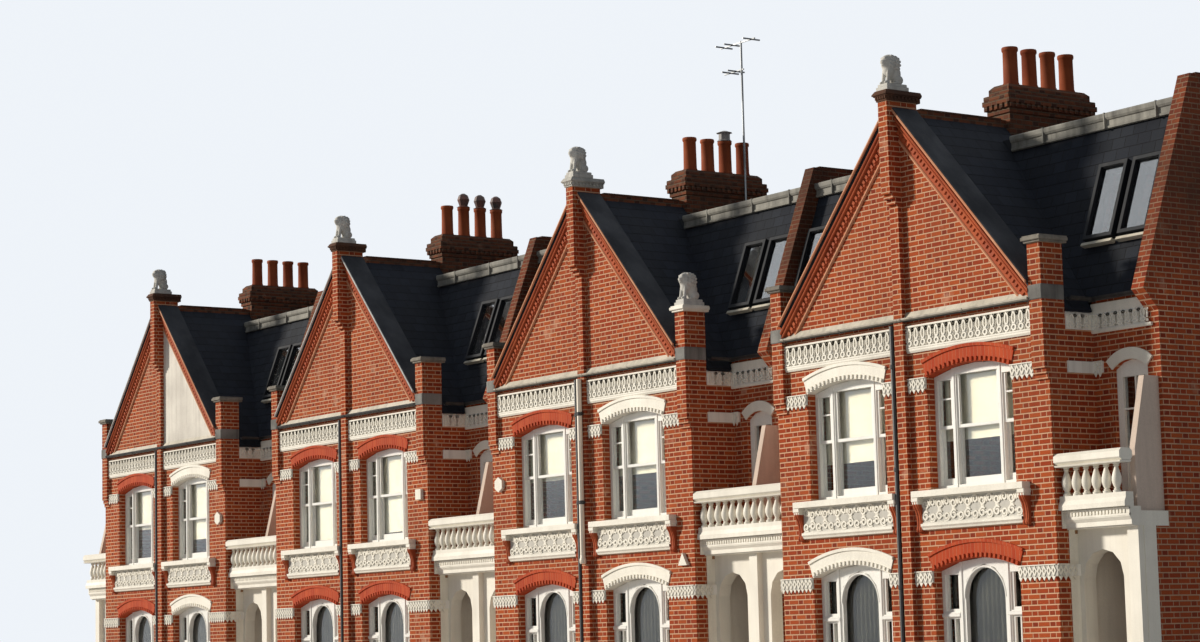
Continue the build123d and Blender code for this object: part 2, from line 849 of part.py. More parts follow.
def porch_piers():
    """Middle piers between the two porches of each recess, with a pilaster up to the cornice."""
    half = porch_pier_width / 2
    narrow = porch_pilaster_width / 2
    face = screen_face - porch_pilaster_projection
    piers = []
    for x in recess_centres:
        left, right = max(x - half, -row_end), min(x + half, row_end)
        plan = [(left, screen_inner), (left, screen_face), (x - narrow, screen_face), (x - narrow, face),
                (x + narrow, face), (x + narrow, screen_face), (right, screen_face), (right, screen_inner)]
        piers.append(along_z(plan, ground_floor, balcony_bottom))
    return piers


def baluster(x):
    """Turned vase baluster between the plinth and the rail."""
    rings = [(0.7 * baluster_radius, plinth_top), (baluster_radius, plinth_top + 0.35 * baluster_height),
             (baluster_neck, rail_bottom)]
    return turned(x, front + plinth_set_back + plinth_depth / 2, rings, baluster_sides)


def house_balusters():
    """Balusters of one house's half of the balcony."""
    spacing = recess_width / 2 / balusters_per_house
    return [baluster(half_gable + (i + 0.5) * spacing) for i in range(balusters_per_house)]


def balustrade_rail_profile():
    """Handrail with rounded shoulders, flush with the gable front."""
    y0, y1 = front, front + rail_depth
    cut = rail_depth / 6
    return [(y0 + cut, rail_bottom), (y0, rail_bottom + cut), (y0, rail_top - cut), (y0 + cut, rail_top),
            (y1 - cut, rail_top), (y1, rail_top - cut), (y1, rail_bottom + cut), (y1 - cut, rail_bottom)]


def balustrade_plinth_profile():
    """Kerb under the balusters, flared at its foot."""
    y0 = front + plinth_set_back
    y1 = y0 + plinth_depth
    neck = y0 + plinth_depth / 6
    third = (plinth_top - cornice_top) / 3
    return [(y0, cornice_top), (y0, cornice_top + third), (neck, cornice_top + 2 * third),
            (neck, plinth_top), (y1, plinth_top), (y1, cornice_top)]


def balcony_cornice_profile():
    """Moulded edge of the balcony, hooked over the slab."""
    lip = front + cornice_set_back
    edge = lip + cornice_cover
    back = lip + cornice_depth
    return [(edge, cornice_bottom), (edge - cornice_cover / 2, cornice_bottom),
            (edge - cornice_cover / 2, cornice_bottom + cornice_drop / 3),
            (lip, cornice_bottom + 0.6 * cornice_drop), (lip, cornice_top),
            (back, cornice_top), (back, first_floor), (edge, first_floor)]


def balcony_divider(x):
    """Screen between the two balconies of a recess, its front edge slanting down to the rail."""
    half = divider_thickness / 2
    edge = front + cornice_set_back + cornice_depth
    top = first_floor + divider_height
    profile = [(recess_face, first_floor), (edge, first_floor), (edge, rail_top),
               (recess_face - divider_head, top), (recess_face, top)]
    return along_x(profile, x - half, x + half)


def balcony_door_opening(y0, y1):
    """Space of the door from a house onto its balcony."""
    return arched_opening(balcony_door_centre, balcony_door_width, first_floor, balcony_door_spring,
                          balcony_door_rise, y0, y1)


def balcony_door_ring():
    """Raised arch over the balcony door."""
    return arch_ring(balcony_door_centre, balcony_door_width, balcony_door_spring, balcony_door_rise,
                     door_ring_depth, recess_face - door_ring_proud, recess_face)


def recess_wall(x0, x1, centre):
    """Back wall of the balconies in one recess, with its doors cut through."""
    wall = block(x0, x1, recess_face, recess_inner, first_floor, mansard_base)
    right = Pos(centre + half_pitch, 0, 0) * mirrored(balcony_door_opening(recess_face, recess_inner))
    left = Pos(centre - half_pitch, 0, 0) * balcony_door_opening(recess_face, recess_inner)
    return wall - left - right


def balcony_door_light(y0, y1):
    """Space of the glass in the upper part of the balcony door."""
    half = balcony_door_width / 2 - 2 * door_frame_width
    return block(balcony_door_centre - half, balcony_door_centre + half, y0, y1,
                 first_floor + balcony_door_panel, balcony_door_spring - 2 * door_frame_width)


def balcony_door():
    """Half-glazed door with its frame, filling the arched opening."""
    y0 = recess_face + (side_wall - door_frame_depth) / 2
    y1 = y0 + door_frame_depth
    return balcony_door_opening(y0, y1) - balcony_door_light(y0, y1)


def balcony_door_pane():
    """Glass of the balcony door."""
    middle = recess_face + side_wall / 2
    return balcony_door_light(middle, middle + glass_thickness)


def front_door_middle():
    """Middle in X of the front door, in the wall at the back of the porch."""
    return (half_gable + party_face) / 2


def entrance_wall():
    """Wall at the back of one porch, with the front door's opening."""
    x = front_door_middle()
    half = front_door_width / 2
    wall = block(half_gable, party_face, entrance_face, entrance_inner, ground_floor, ceiling)
    return wall - block(x - half, x + half, entrance_face, entrance_inner, ground_floor, front_door_head)


def front_door_frame():
    """Door frame with a transom under the fanlight."""
    x = front_door_middle()
    half = front_door_width / 2
    y0 = entrance_face + side_wall / 3
    y1 = y0 + door_frame_depth
    inner = half - door_frame_width
    transom = ground_floor + front_door_height
    frame = block(x - half, x + half, y0, y1, ground_floor, front_door_head)
    frame -= block(x - inner, x + inner, y0, y1, ground_floor, transom)
    return frame - block(x - inner, x + inner, y0, y1, transom + door_frame_width,
                         front_door_head - door_frame_width)


def front_door_leaf():
    """Front door in its frame."""
    x = front_door_middle()
    half = front_door_width / 2 - door_frame_width
    y1 = entrance_face + side_wall / 3 + door_frame_depth
    return block(x - half, x + half, y1 - door_thickness, y1, ground_floor, ground_floor + front_door_height)


def fanlight_pane():
    """Glass over the front door."""
    x = front_door_middle()
    half = front_door_width / 2 - door_frame_width
    y0 = entrance_face + side_wall / 3 + door_frame_depth / 2
    bottom = ground_floor + front_door_height + door_frame_width
    return block(x - half, x + half, y0, y0 + glass_thickness, bottom, front_door_head - door_frame_width)


def rear_openings():
    """Window and door spaces of one house's rear wall, as (left, right, bottom, top), the door last."""
    clear = party_face - half_party
    near = half_party + clear / 4
    far = half_party + 3 * clear / 4
    w = rear_window_width / 2
    d = rear_door_width / 2
    return [(near - w, near + w, rear_upper_sill, rear_upper_sill + rear_window_height),
            (far - w, far + w, rear_upper_sill, rear_upper_sill + rear_window_height),
            (far - w, far + w, rear_lower_sill, rear_lower_sill + rear_window_height),
            (near - d, near + d, ground_floor, ground_floor + rear_door_height)]


def rear_house_wall():
    """Rear wall of one house."""
    wall = block(half_party, party_face, rear_inner, rear, ground_floor, mansard_base)
    for x0, x1, z0, z1 in rear_openings():
        wall -= block(x0, x1, rear_inner, rear, z0, z1)
    return wall


def rear_sash(x0, x1, z0, z1):
    """Sash window frame of the rear wall."""
    y1 = rear - window_reveal / 2
    y0 = y1 - frame_depth
    frame = block(x0, x1, y0, y1, z0, z1)
    return frame - block(x0 + frame_width, x1 - frame_width, y0, y1, z0 + frame_width, z1 - frame_width)


def rear_pane(x0, x1, z0, z1):
    """Glass behind a rear sash."""
    y1 = rear - window_reveal / 2 - frame_depth
    lift = frame_width / 2
    return block(x0 + lift, x1 - lift, y1 - glass_thickness, y1, z0 + lift, z1 - lift)


def rear_sill(x0, x1, z0):
    """Sill under a rear window."""
    return block(x0, x1, rear, rear + rear_sill_projection, z0 - sill_thickness, z0)


def alarm_box(x, z, corners):
    """Shallow box on the front, with a plan of equal sides seen from the street."""
    turns = [2 * math.pi * i / corners for i in range(corners)]
    if corners == 4:
        turns = [a + math.pi / 4 for a in turns]
    points = [(x + alarm_width / 2 * math.sin(a), z + alarm_width / 2 * math.cos(a)) for a in turns]
    return along_y(points, front - alarm_depth, front)


def floor_plan(front_edge):
    """Plan of one house's upper floor, up to the side wall in front and the party wall behind."""
    return [(half_party, front_inner), (front_edge[0], front_inner), front_edge,
            (party_face, front_edge[1]), (party_face, rear_inner), (half_party, rear_inner)]


os.makedirs("parts", exist_ok=True)

# Floors
write("ground_slab", [block(-row_end, row_end, front, rear, 0, slab_thickness)])
write("upper_floors", each_house([
    along_z(floor_plan((half_gable, recess_face)), ceiling, first_floor),
    along_z(floor_plan((side_inner, recess_inner)), attic_floor - attic_floor_thickness, attic_floor)]))

# Walls
write("gable_fronts", each_gable([gable_front()]))
write("bay_side_walls", each_house([block(side_inner, half_gable, front_inner, recess_inner,
                                          first_floor, attic_floor)]))
write("porch_side_walls", each_house([block(side_inner, half_gable, front_inner, entrance_inner,
                                            ground_floor, ceiling)]))
write("recess_walls", [recess_wall(x0, x1, c) for (x0, x1), c in zip(each_recess(), recess_centres)])
write("entrance_walls", each_house([entrance_wall()]))
write("party_walls", recess_party_walls())
write("chimney_party_walls", chimney_party_walls())
write("rear_walls", each_house([rear_house_wall()]))

# Roofs
write("gable_roofs", each_house([gable_roof()]))
write("mansard_slopes", each_house([front_mansard(), rear_mansard()]))
flat_front = mansard_y(flat_roof_bottom)
flat_rear = rear + recess_face - flat_front
write("flat_roof", each_house([block(half_party, party_face, flat_front, flat_rear,
                                     flat_roof_bottom, flat_roof_top)]))
curb_start = (gable_ridge - flat_roof_bottom) / gable_slope + curb_thickness
write("roof_curbs", each_house([
    block(curb_start, party_face, flat_front - curb_thickness, flat_front, flat_roof_bottom,
          flat_roof_top + curb_upstand),
    block(half_party, party_face, flat_rear, flat_rear + curb_thickness, flat_roof_bottom,
          flat_roof_top + curb_upstand)]))
roof_windows = [roof_window_frame_piece(x) for x in roof_window_places()]
roof_windows.append(to_rear(roof_window_frame_piece(rear_roof_window_place())))
write("roof_window_frames", each_house(roof_windows))
roof_panes = [roof_window_pane(x) for x in roof_window_places()]
roof_panes.append(to_rear(roof_window_pane(rear_roof_window_place())))

# Chimneys
write("chimney_stacks", each_gable([chimney_stack()]))
write("chimney_pots", each_gable([pot(y) for y in pot_places()]))
ball_cowls = [Pos(gable_centres[1], 0, 0) * ball_cowl(y) for y in pot_places()[1:]]
write("pot_cowls", ball_cowls + [Pos(gable_centres[2], 0, 0) * disc_cowl(pot_places()[2])])
write("tv_aerial", [Pos(gable_centres[2], 0, 0) * tv_aerial()])

# Gable dressings
write("centre_pilasters", each_gable([centre_pilaster()]))
write("apex_piers", each_gable([apex_pier()]))
write("side_piers", each_house([side_pier()]))
write("pier_caps", each_gable([apex_cap()]) + each_house([side_pier_cap()]))
write("rake_mouldings", each_house([rake()]))
side_lion = lion(half_gable - pier_width / 2, front - pier_projection, pier_cap_top)
write("lions", each_gable([lion(0, apex_face, apex_cap_top)]) + [Pos(gable_centres[2], 0, 0) * side_lion])
write("friezes", each_house(friezes()))
write("string_bands", each_house(string_bands()))

# Front windows
arches = [arch_ring(window_centre, window_width, spring, rise, ring_depth, front - ring_proud, front_inner)
          for sill, spring, rise in window_levels]
write("window_arches", each_house(arches + [balcony_door_ring()]))
rear_sills = [rear_sill(o[0], o[1], o[2]) for o in rear_openings()[:3]]
write("window_sills", each_house([window_sill(lower_sill), window_sill(upper_sill)] + rear_sills))
write("apron_brackets", each_house(apron_brackets()))
write("apron_panels", each_house([apron_panel()]))
write("front_windows", each_house([front_window(lower_sill, lower_spring, lower_rise, True),
                                   front_window(upper_sill, upper_spring, upper_rise, False)]))
front_panes = [front_pane(lower_sill, lower_spring, lower_rise),
               front_pane(upper_sill, upper_spring, upper_rise)]
alarm_height = (upper_sill + upper_spring) / 2
alarm_side = half_gable - pier_width / 2 - alarm_width / 2
write("alarm_boxes", [Pos(gable_centres[0], 0, 0) * alarm_box(alarm_side, alarm_height, hexagon),
                      Pos(gable_centres[1], 0, 0) * alarm_box(alarm_side, alarm_height, square),
                      Pos(gable_centres[2], 0, 0) * alarm_box(-alarm_side, alarm_height, hexagon),
                      Pos(gable_centres[2], 0, 0) * alarm_box(alarm_side, first_floor - alarm_width, triangle)])

# Porches and balconies
write("porch_piers", porch_piers())
write("porch_responds", each_house(porch_responds()))
write("porch_arches", each_house([porch_arch()]))
slab_front = front + cornice_set_back + cornice_cover
write("balcony_slabs", [block(x0, x1, slab_front, recess_face, balcony_bottom, first_floor)
                        for x0, x1 in each_recess()])
write("balcony_cornices", [along_x(balcony_cornice_profile(), x0, x1) for x0, x1 in each_recess()])
write("balustrade_plinths", [along_x(balustrade_plinth_profile(), x0, x1) for x0, x1 in each_recess()])
write("balustrade_rails", [along_x(balustrade_rail_profile(), x0, x1) for x0, x1 in each_recess()])
write("balusters", each_house(house_balusters()))
write("balcony_dividers", [balcony_divider(x) for x in recess_centres])
write("balcony_doors", each_house([balcony_door()]))
write("front_door_frames", each_house([front_door_frame()]))
write("front_doors", each_house([front_door_leaf()]))

# Rear
write("rear_windows", each_house([rear_sash(*o) for o in rear_openings()[:3]]))
rear_panes = [rear_pane(*o) for o in rear_openings()[:3]]
write("window_glass", each_house(front_panes + rear_panes + roof_panes
                                 + [balcony_door_pane(), fanlight_pane()]))
near_door = rear_openings()[3]
write("rear_doors", each_house([block(near_door[0], near_door[1], rear - window_reveal / 2 - door_thickness,
                                      rear - window_reveal / 2, near_door[2], near_door[3])]))

# Rainwater goods
write("gutters", each_house(gutters()))
write("downpipes", each_gable(downpipes()) + [Pos(gable_centres[2], 0, 0) * waste_pipe()])
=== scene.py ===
import json
import math
import bpy
from mathutils import Matrix, Vector


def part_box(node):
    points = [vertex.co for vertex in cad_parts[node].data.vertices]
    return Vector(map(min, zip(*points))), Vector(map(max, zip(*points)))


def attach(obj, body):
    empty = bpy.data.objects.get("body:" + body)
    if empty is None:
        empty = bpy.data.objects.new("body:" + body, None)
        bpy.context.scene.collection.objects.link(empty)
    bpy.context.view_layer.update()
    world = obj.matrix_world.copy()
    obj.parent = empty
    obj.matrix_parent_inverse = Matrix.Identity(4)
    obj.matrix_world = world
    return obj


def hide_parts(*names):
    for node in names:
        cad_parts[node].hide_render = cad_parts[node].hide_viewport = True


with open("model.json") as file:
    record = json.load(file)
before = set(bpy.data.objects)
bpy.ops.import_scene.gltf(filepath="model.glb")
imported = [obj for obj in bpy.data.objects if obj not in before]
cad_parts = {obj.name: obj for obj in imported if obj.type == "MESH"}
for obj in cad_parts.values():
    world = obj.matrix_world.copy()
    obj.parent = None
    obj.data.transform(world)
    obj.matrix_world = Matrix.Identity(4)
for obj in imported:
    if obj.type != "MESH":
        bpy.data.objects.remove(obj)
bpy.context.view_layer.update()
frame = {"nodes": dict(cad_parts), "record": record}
nodes = frame["nodes"]
print("frame loaded,", len(nodes), "nodes")


# places read from the frame

def solidBoxes(name):
    # lowest and highest corner of each separate solid in a node
    mesh = nodes[name].data
    spots, parents, corner = {}, [], []

    def top(i):
        while parents[i] != i:
            parents[i] = parents[parents[i]]
            i = parents[i]
        return i

    for vertex in mesh.vertices:
        key = tuple(round(c, 4) for c in vertex.co)
        if key not in spots:
            spots[key] = len(parents)
            parents.append(len(parents))
        corner.append(spots[key])
    for face in mesh.polygons:
        first = top(corner[face.vertices[0]])
        for i in face.vertices[1:]:
            parents[top(corner[i])] = first
    groups = {}
    for vertex, i in zip(mesh.vertices, corner):
        groups.setdefault(top(i), []).append(vertex.co)
    boxes = [tuple(Vector([end(p[k] for p in points) for k in range(3)]) for end in (min, max))
             for points in groups.values()]
    return sorted(boxes, key=lambda b: (round(b[0].x, 2), round(b[0].z, 2), round(b[0].y, 2)))


gableBoxes = solidBoxes("gable_fronts")
gableCentres = [(low.x + high.x) / 2 for low, high in gableBoxes]
pitch = gableCentres[1] - gableCentres[0]
wallFace, wallBack = gableBoxes[0][0].y, gableBoxes[0][1].y
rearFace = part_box("rear_walls")[1].y
allHouses = [(pair, side) for pair in range(len(gableCentres)) for side in (-1, 1)]


def houseBoxes(name):
    # the solids of one right-hand house, with its pair's middle at x = 0
    shift = Vector((gableCentres[1], 0, 0))
    return [(low - shift, high - shift) for low, high in solidBoxes(name)
            if 0.01 < (low.x + high.x) / 2 - shift.x < pitch / 2 + 0.01]


def feet(name):
    # the middle of the underside of each solid in a node
    return [((low.x + high.x) / 2, (low.y + high.y) / 2, low.z) for low, high in solidBoxes(name)]


def offWall(profile):
    # points of (out from the gable wall's face, up)
    return [(wallFace - out, up) for out, up in profile]


def others(houses):
    return [house for house in allHouses if house not in houses]


# modelling steps

def clearSelection():
    if bpy.context.mode != "OBJECT":
        bpy.ops.object.mode_set(mode="OBJECT")
    bpy.ops.object.select_all(action="DESELECT")


def pick(pieces):
    clearSelection()
    for piece in pieces:
        piece.select_set(True)
    bpy.context.view_layer.objects.active = pieces[0]


def settle(piece):
    pick([piece])
    bpy.ops.object.transform_apply(location=True, rotation=True, scale=True)
    return piece


def edit(piece):
    pick([piece])
    bpy.ops.object.mode_set(mode="EDIT")
    bpy.ops.mesh.select_all(action="SELECT")


def done():
    bpy.ops.mesh.select_all(action="SELECT")
    bpy.ops.mesh.normals_make_consistent(inside=False)
    bpy.ops.object.mode_set(mode="OBJECT")
    return bpy.context.object


def addBlock(low, high, bevel=0.0):
    clearSelection()
    low, high = Vector(low), Vector(high)
    bpy.ops.mesh.primitive_cube_add(size=1, location=(low + high) / 2)
    block = bpy.context.object
    block.scale = high - low
    settle(block)
    if bevel:
        edit(block)
        bpy.ops.mesh.bevel(offset=bevel, segments=1, affect="EDGES")
        done()
    return block


def addPost(x, half, depth, height, bevel=0.0):
    # a block with its middle at x
    return addBlock((x - half, depth[0], height[0]), (x + half, depth[1], height[1]), bevel)


def addOutline(outline, axis, level):
    # a flat face through points of two coordinates, at a level of the third
    clearSelection()
    bpy.ops.mesh.primitive_circle_add(vertices=len(outline), radius=1, fill_type="NGON")
    piece = bpy.context.object
    for vertex, spot in zip(piece.data.vertices, outline):
        vertex.co = (*spot[:axis], level, *spot[axis:])
    edit(piece)


def pull(*step):
    bpy.ops.mesh.extrude_region_move(TRANSFORM_OT_translate={"value": step})


def addBar(outline, start, end, axis="x"):
    # an outline of two coordinates, run along the third
    k = "xyz".index(axis)
    addOutline(outline, k, start)
    pull(*(end - start if i == k else 0 for i in range(3)))
    return done()


def addTurned(x, y, rings, sides):
    # a round piece through rings of (radius, height)
    clearSelection()
    radius, height = rings[0]
    bpy.ops.mesh.primitive_circle_add(vertices=sides, radius=radius, location=(x, y, height),
                                      fill_type="NGON")
    piece = settle(bpy.context.object)
    edit(piece)
    for (r0, z0), (r1, z1) in zip(rings, rings[1:]):
        pull(0, 0, z1 - z0)
        bpy.ops.transform.resize(value=(r1 / r0, r1 / r0, 1), center_override=(x, y, z1))
    return done()


def addRod(start, end, radius, sides=6):
    start, end = Vector(start), Vector(end)
    clearSelection()
    bpy.ops.mesh.primitive_cylinder_add(vertices=sides, radius=radius, depth=(end - start).length)
    rod = bpy.context.object
    turn = (end - start).to_track_quat("Z", "Y").to_matrix().to_4x4()
    rod.data.transform(Matrix.Translation((start + end) / 2) @ turn)
    return rod


def addBall(centre, radii, segments=16, rings=10):
    clearSelection()
    bpy.ops.mesh.primitive_uv_sphere_add(segments=segments, ring_count=rings, radius=1, location=centre)
    ball = bpy.context.object
    ball.scale = radii
    return settle(ball)


def cutAway(piece, point, normal):
    # takes off what lies on the normal's side of a plane
    edit(piece)
    bpy.ops.mesh.bisect(plane_co=point, plane_no=normal, use_fill=True, clear_outer=True)
    return done()


def moved(piece, place, quarters=0, scale=(1, 1, 1)):
    # scaled, turned by quarters round the upright and moved
    turn = Matrix.Rotation(quarters * math.pi / 2, 4, "Z")
    piece.data.transform(Matrix.Translation(place) @ turn @ Matrix.Diagonal((*scale, 1)))
    return piece


def copyOf(piece, matrix):
    twin = piece.copy()
    twin.data = piece.data.copy()
    bpy.context.collection.objects.link(twin)
    twin.data.transform(matrix)
    if matrix.determinant() < 0:
        twin.data.flip_normals()
    return twin


def drop(piece):
    bpy.data.meshes.remove(piece.data)


def joined(pieces):
    pick(pieces)
    if len(pieces) > 1:
        bpy.ops.object.join()
    return bpy.context.object


def copies(piece, matrices):
    twins = [copyOf(piece, matrix) for matrix in matrices]
    drop(piece)
    return joined(twins)


def repeated(piece, moves):
    return copies(piece, [Matrix.Translation(move) for move in moves])


def unitsAlong(unit, width, start, end, y, z):
    # units spaced evenly from start to end, each stretched to its share
    count = max(1, round((end - start) / width))
    step = (end - start) / count
    stretched = copyOf(unit, Matrix.Diagonal((step / width, 1, 1, 1)))
    return repeated(stretched, [(start + (i + 0.5) * step, y, z) for i in range(count)])


def eachHouse(piece, houses=allHouses):
    # copies from the right-hand house at the middle to the chosen houses
    return copies(piece, [Matrix.Translation((gableCentres[pair], 0, 0)) @ Matrix.Diagonal((side, 1, 1, 1))
                          for pair, side in houses])


def eachPair(piece, pairs):
    return repeated(piece, [(gableCentres[pair], 0, 0) for pair in pairs])


def smooth(piece, angle=50):
    pick([piece])
    bpy.ops.object.shade_smooth_by_angle(angle=math.radians(angle))
    return piece


def finish(piece, name, look, slot, *instead):
    # look is the name of a finish, and instead the nodes that the piece stands for
    piece.name = name
    piece.data.name = name
    piece.data.materials.clear()
    piece.data.materials.append(finishes[look])
    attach(piece, "root")
    if instead:
        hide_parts(*instead)
    return piece


# shader steps

def put(tree, kind, values=None, **settings):
    node = tree.nodes.new(kind)
    for key, value in settings.items():
        setattr(node, key, value)
    for key, value in (values or {}).items():
        if isinstance(value, bpy.types.NodeSocket):
            tree.links.new(value, node.inputs[key])
        else:
            node.inputs[key].default_value = value
    return node


def calc(tree, operation, a, b=0.0, c=0.0):
    return put(tree, "ShaderNodeMath", {0: a, 1: b, 2: c}, operation=operation).outputs[0]


def times(tree, a, b):
    return calc(tree, "MULTIPLY", a, b)


def mixed(tree, amount, a, b, mode="MIX"):
    a, b = ((*colour, 1) if isinstance(colour, tuple) else colour for colour in (a, b))
    node = put(tree, "ShaderNodeMix", {0: amount, 6: a, 7: b}, data_type="RGBA", blend_type=mode)
    return node.outputs[2]


def spread(tree, value, low, high, toLow=0.0, toHigh=1.0):
    return put(tree, "ShaderNodeMapRange", {0: value, 1: low, 2: high, 3: toLow, 4: toHigh}).outputs[0]


def axes(tree, vector):
    return put(tree, "ShaderNodeSeparateXYZ", {0: vector}).outputs


def objectPlace(tree):
    return put(tree, "ShaderNodeTexCoord").outputs["Object"]


def faceNormal(tree, kind="True Normal"):
    return axes(tree, put(tree, "ShaderNodeNewGeometry").outputs[kind])


def noise(tree, vector, scale, detail):
    return put(tree, "ShaderNodeTexNoise", {"Vector": vector, "Scale": scale, "Detail": detail}).outputs[0]


def drawnOut(tree, scale):
    return put(tree, "ShaderNodeMapping", {"Vector": objectPlace(tree), "Scale": scale}).outputs[0]


def cellTone(tree, x, y, z=0.0):
    # one value for each whole-numbered cell
    cell = put(tree, "ShaderNodeCombineXYZ", {0: x, 1: y, 2: z}).outputs[0]
    return put(tree, "ShaderNodeTexWhiteNoise", {0: cell}, noise_dimensions="3D").outputs["Value"]


def toEdge(tree, share):
    # distance from a place between 0 and 1 to the nearer end
    return calc(tree, "MINIMUM", share, calc(tree, "SUBTRACT", 1.0, share))


def facesSideways(tree, least=0.7):
    return calc(tree, "GREATER_THAN", calc(tree, "ABSOLUTE", faceNormal(tree)[0]), least)


def wallPlace(tree):
    # along the wall and up it, whichever way the wall faces
    spot = axes(tree, objectPlace(tree))
    along = put(tree, "ShaderNodeMix", {0: facesSideways(tree, 0.72), 2: spot[0], 3: spot[1]},
                data_type="FLOAT")
    return along.outputs[0], spot[2]


def brokenCourses(tree, course, width):
    # row and place in it, unit and place in it, every second row shifted by half a unit
    along, up = wallPlace(tree)
    rise = calc(tree, "DIVIDE", up, course)
    row = calc(tree, "FLOOR", rise)
    shifted = times(tree, calc(tree, "FLOORED_MODULO", row, 2.0), 0.5)
    run = calc(tree, "ADD", calc(tree, "DIVIDE", along, width), shifted)
    return row, calc(tree, "FRACT", rise), calc(tree, "FLOOR", run), calc(tree, "FRACT", run)


def newGroup(name, inputs, outputs):
    group = bpy.data.node_groups.new(name, "ShaderNodeTree")
    for label, default in inputs.items():
        group.interface.new_socket(name=label, in_out="INPUT",
                                   socket_type="NodeSocketFloat").default_value = default
    for label in outputs:
        group.interface.new_socket(name=label, in_out="OUTPUT", socket_type="NodeSocketFloat")
    return group, put(group, "NodeGroupInput").outputs


def makeBrickBond():
    # alternate stretchers and headers in every course
    group, given = newGroup("brickBond", {"Course": 0.075, "Repeat": 0.3375, "Joint": 0.0072},
                            ["Joint", "Tone", "Header"])
    headerStart, edgeWidth, jointBlur = 2 / 3, 0.52, 1.5
    row, inRow, cell, inCell = brokenCourses(group, given["Course"], given["Repeat"])
    header = calc(group, "GREATER_THAN", inCell, headerStart)
    split = calc(group, "ABSOLUTE", calc(group, "SUBTRACT", inCell, headerStart))
    sideways = times(group, calc(group, "MINIMUM", toEdge(group, inCell), split), edgeWidth)
    edge = calc(group, "MINIMUM", sideways, times(group, toEdge(group, inRow), given["Course"]))
    joint = spread(group, edge, given["Joint"], times(group, given["Joint"], jointBlur), 1.0, 0.0)
    put(group, "NodeGroupOutput", {"Joint": joint, "Tone": cellTone(group, cell, row, header),
                                   "Header": header})
    return group


def makeSlateCourses():
    # broken-jointed slates, each with its own tone and a raised lower edge
    group, given = newGroup("slateCourses", {"Course": 0.18, "Width": 0.25}, ["Edge", "Tone", "Step"])
    row, inRow, cell, inCell = brokenCourses(group, given["Course"], given["Width"])
    upright = spread(group, toEdge(group, inCell), 0.012, 0.03, 1.0, 0.0)
    level = spread(group, inRow, 0.03, 0.08, 1.0, 0.0)
    put(group, "NodeGroupOutput", {"Edge": calc(group, "MAXIMUM", upright, level),
                                   "Tone": cellTone(group, cell, row, 3.0),
                                   "Step": calc(group, "SUBTRACT", 1.0, inRow)})
    return group


def makeWeathering():
    # broad patches, rain streaks and fine grain
    group, given = newGroup("weathering", {"Size": 1.0}, ["Patches", "Streaks", "Grain"])
    scaled = put(group, "ShaderNodeVectorMath", {0: objectPlace(group),
                                                 3: calc(group, "DIVIDE", 1.0, given["Size"])},
                 operation="SCALE").outputs[0]
    streaks = noise(group, drawnOut(group, (9.0, 9.0, 0.7)), 1.0, 4.0)
    put(group, "NodeGroupOutput", {"Patches": spread(group, noise(group, scaled, 1.3, 5.0), 0.35, 0.68),
                                   "Streaks": spread(group, streaks, 0.45, 0.75),
                                   "Grain": noise(group, objectPlace(group), 90.0, 4.0)})
    return group


brickBond, slateCourses, weathering = makeBrickBond(), makeSlateCourses(), makeWeathering()


def startMaterial(name, roughness, **sockets):
    material = bpy.data.materials.new(name)
    material.use_nodes = True
    tree = material.node_tree
    shader = tree.nodes["Principled BSDF"]
    shader.inputs["Roughness"].default_value = roughness
    shader.inputs["Specular IOR Level"].default_value = 0.12 if roughness > 0.62 else 0.5
    for key, value in sockets.items():
        shader.inputs[key.replace("_", " ")].default_value = value
    return material, tree, shader


def useGroup(tree, group, values=None):
    node = put(tree, "ShaderNodeGroup", None, node_tree=group)
    for key, value in (values or {}).items():
        node.inputs[key].default_value = value
    return node.outputs


def raised(tree, shader, height, distance, strength=1.0):
    bump = put(tree, "ShaderNodeBump", {"Height": height, "Distance": distance, "Strength": strength})
    tree.links.new(bump.outputs[0], shader.inputs["Normal"])


def speckled(tree, weather, colour, *reach):
    shade = spread(tree, weather["Grain"], *reach)
    grey = put(tree, "ShaderNodeCombineColor", {0: shade, 1: shade, 2: shade}).outputs[0]
    return mixed(tree, 1.0, colour, grey, "MULTIPLY")


def brickFinish(name, stretcher, pale, header, mortar, soot=0.0, darkenAbove=None):
    # the last argument is the height from which walls that stand over the roofs are darkened towards black in
    # patches
    lime, dirt = (0.68, 0.40, 0.27), (0.10, 0.055, 0.035)
    streaks, black = (0.07, 0.045, 0.035), (0.055, 0.030, 0.020)
    material, tree, shader = startMaterial(name, 0.88)
    bond = useGroup(tree, brickBond)
    weather = useGroup(tree, weathering, {"Size": 1.6})
    colour = mixed(tree, bond["Tone"], stretcher, pale)
    colour = mixed(tree, times(tree, bond["Header"], spread(tree, bond["Tone"], 0.1, 0.75)), colour, header)
    colour = mixed(tree, bond["Joint"], speckled(tree, weather, colour, 0.35, 0.62, 0.72, 1.12), mortar)
    bloom = spread(tree, noise(tree, objectPlace(tree), 2.3, 6.0), 0.64, 0.74)
    colour = mixed(tree, times(tree, bloom, 0.45), colour, lime)
    colour = mixed(tree, times(tree, weather["Patches"], 0.20 + soot), colour, dirt)
    colour = mixed(tree, times(tree, weather["Streaks"], 0.12 + soot), colour, streaks)
    if darkenAbove:
        high = spread(tree, axes(tree, objectPlace(tree))[2], darkenAbove, darkenAbove + 0.9)
        colour = mixed(tree, times(tree, high, spread(tree, weather["Patches"], 0, 1, 0.45, 0.85)), colour,
                       black)
    tree.links.new(colour, shader.inputs["Base Color"])
    raised(tree, shader, calc(tree, "SUBTRACT", times(tree, weather["Grain"], 0.35), bond["Joint"]), 0.006)
    return material


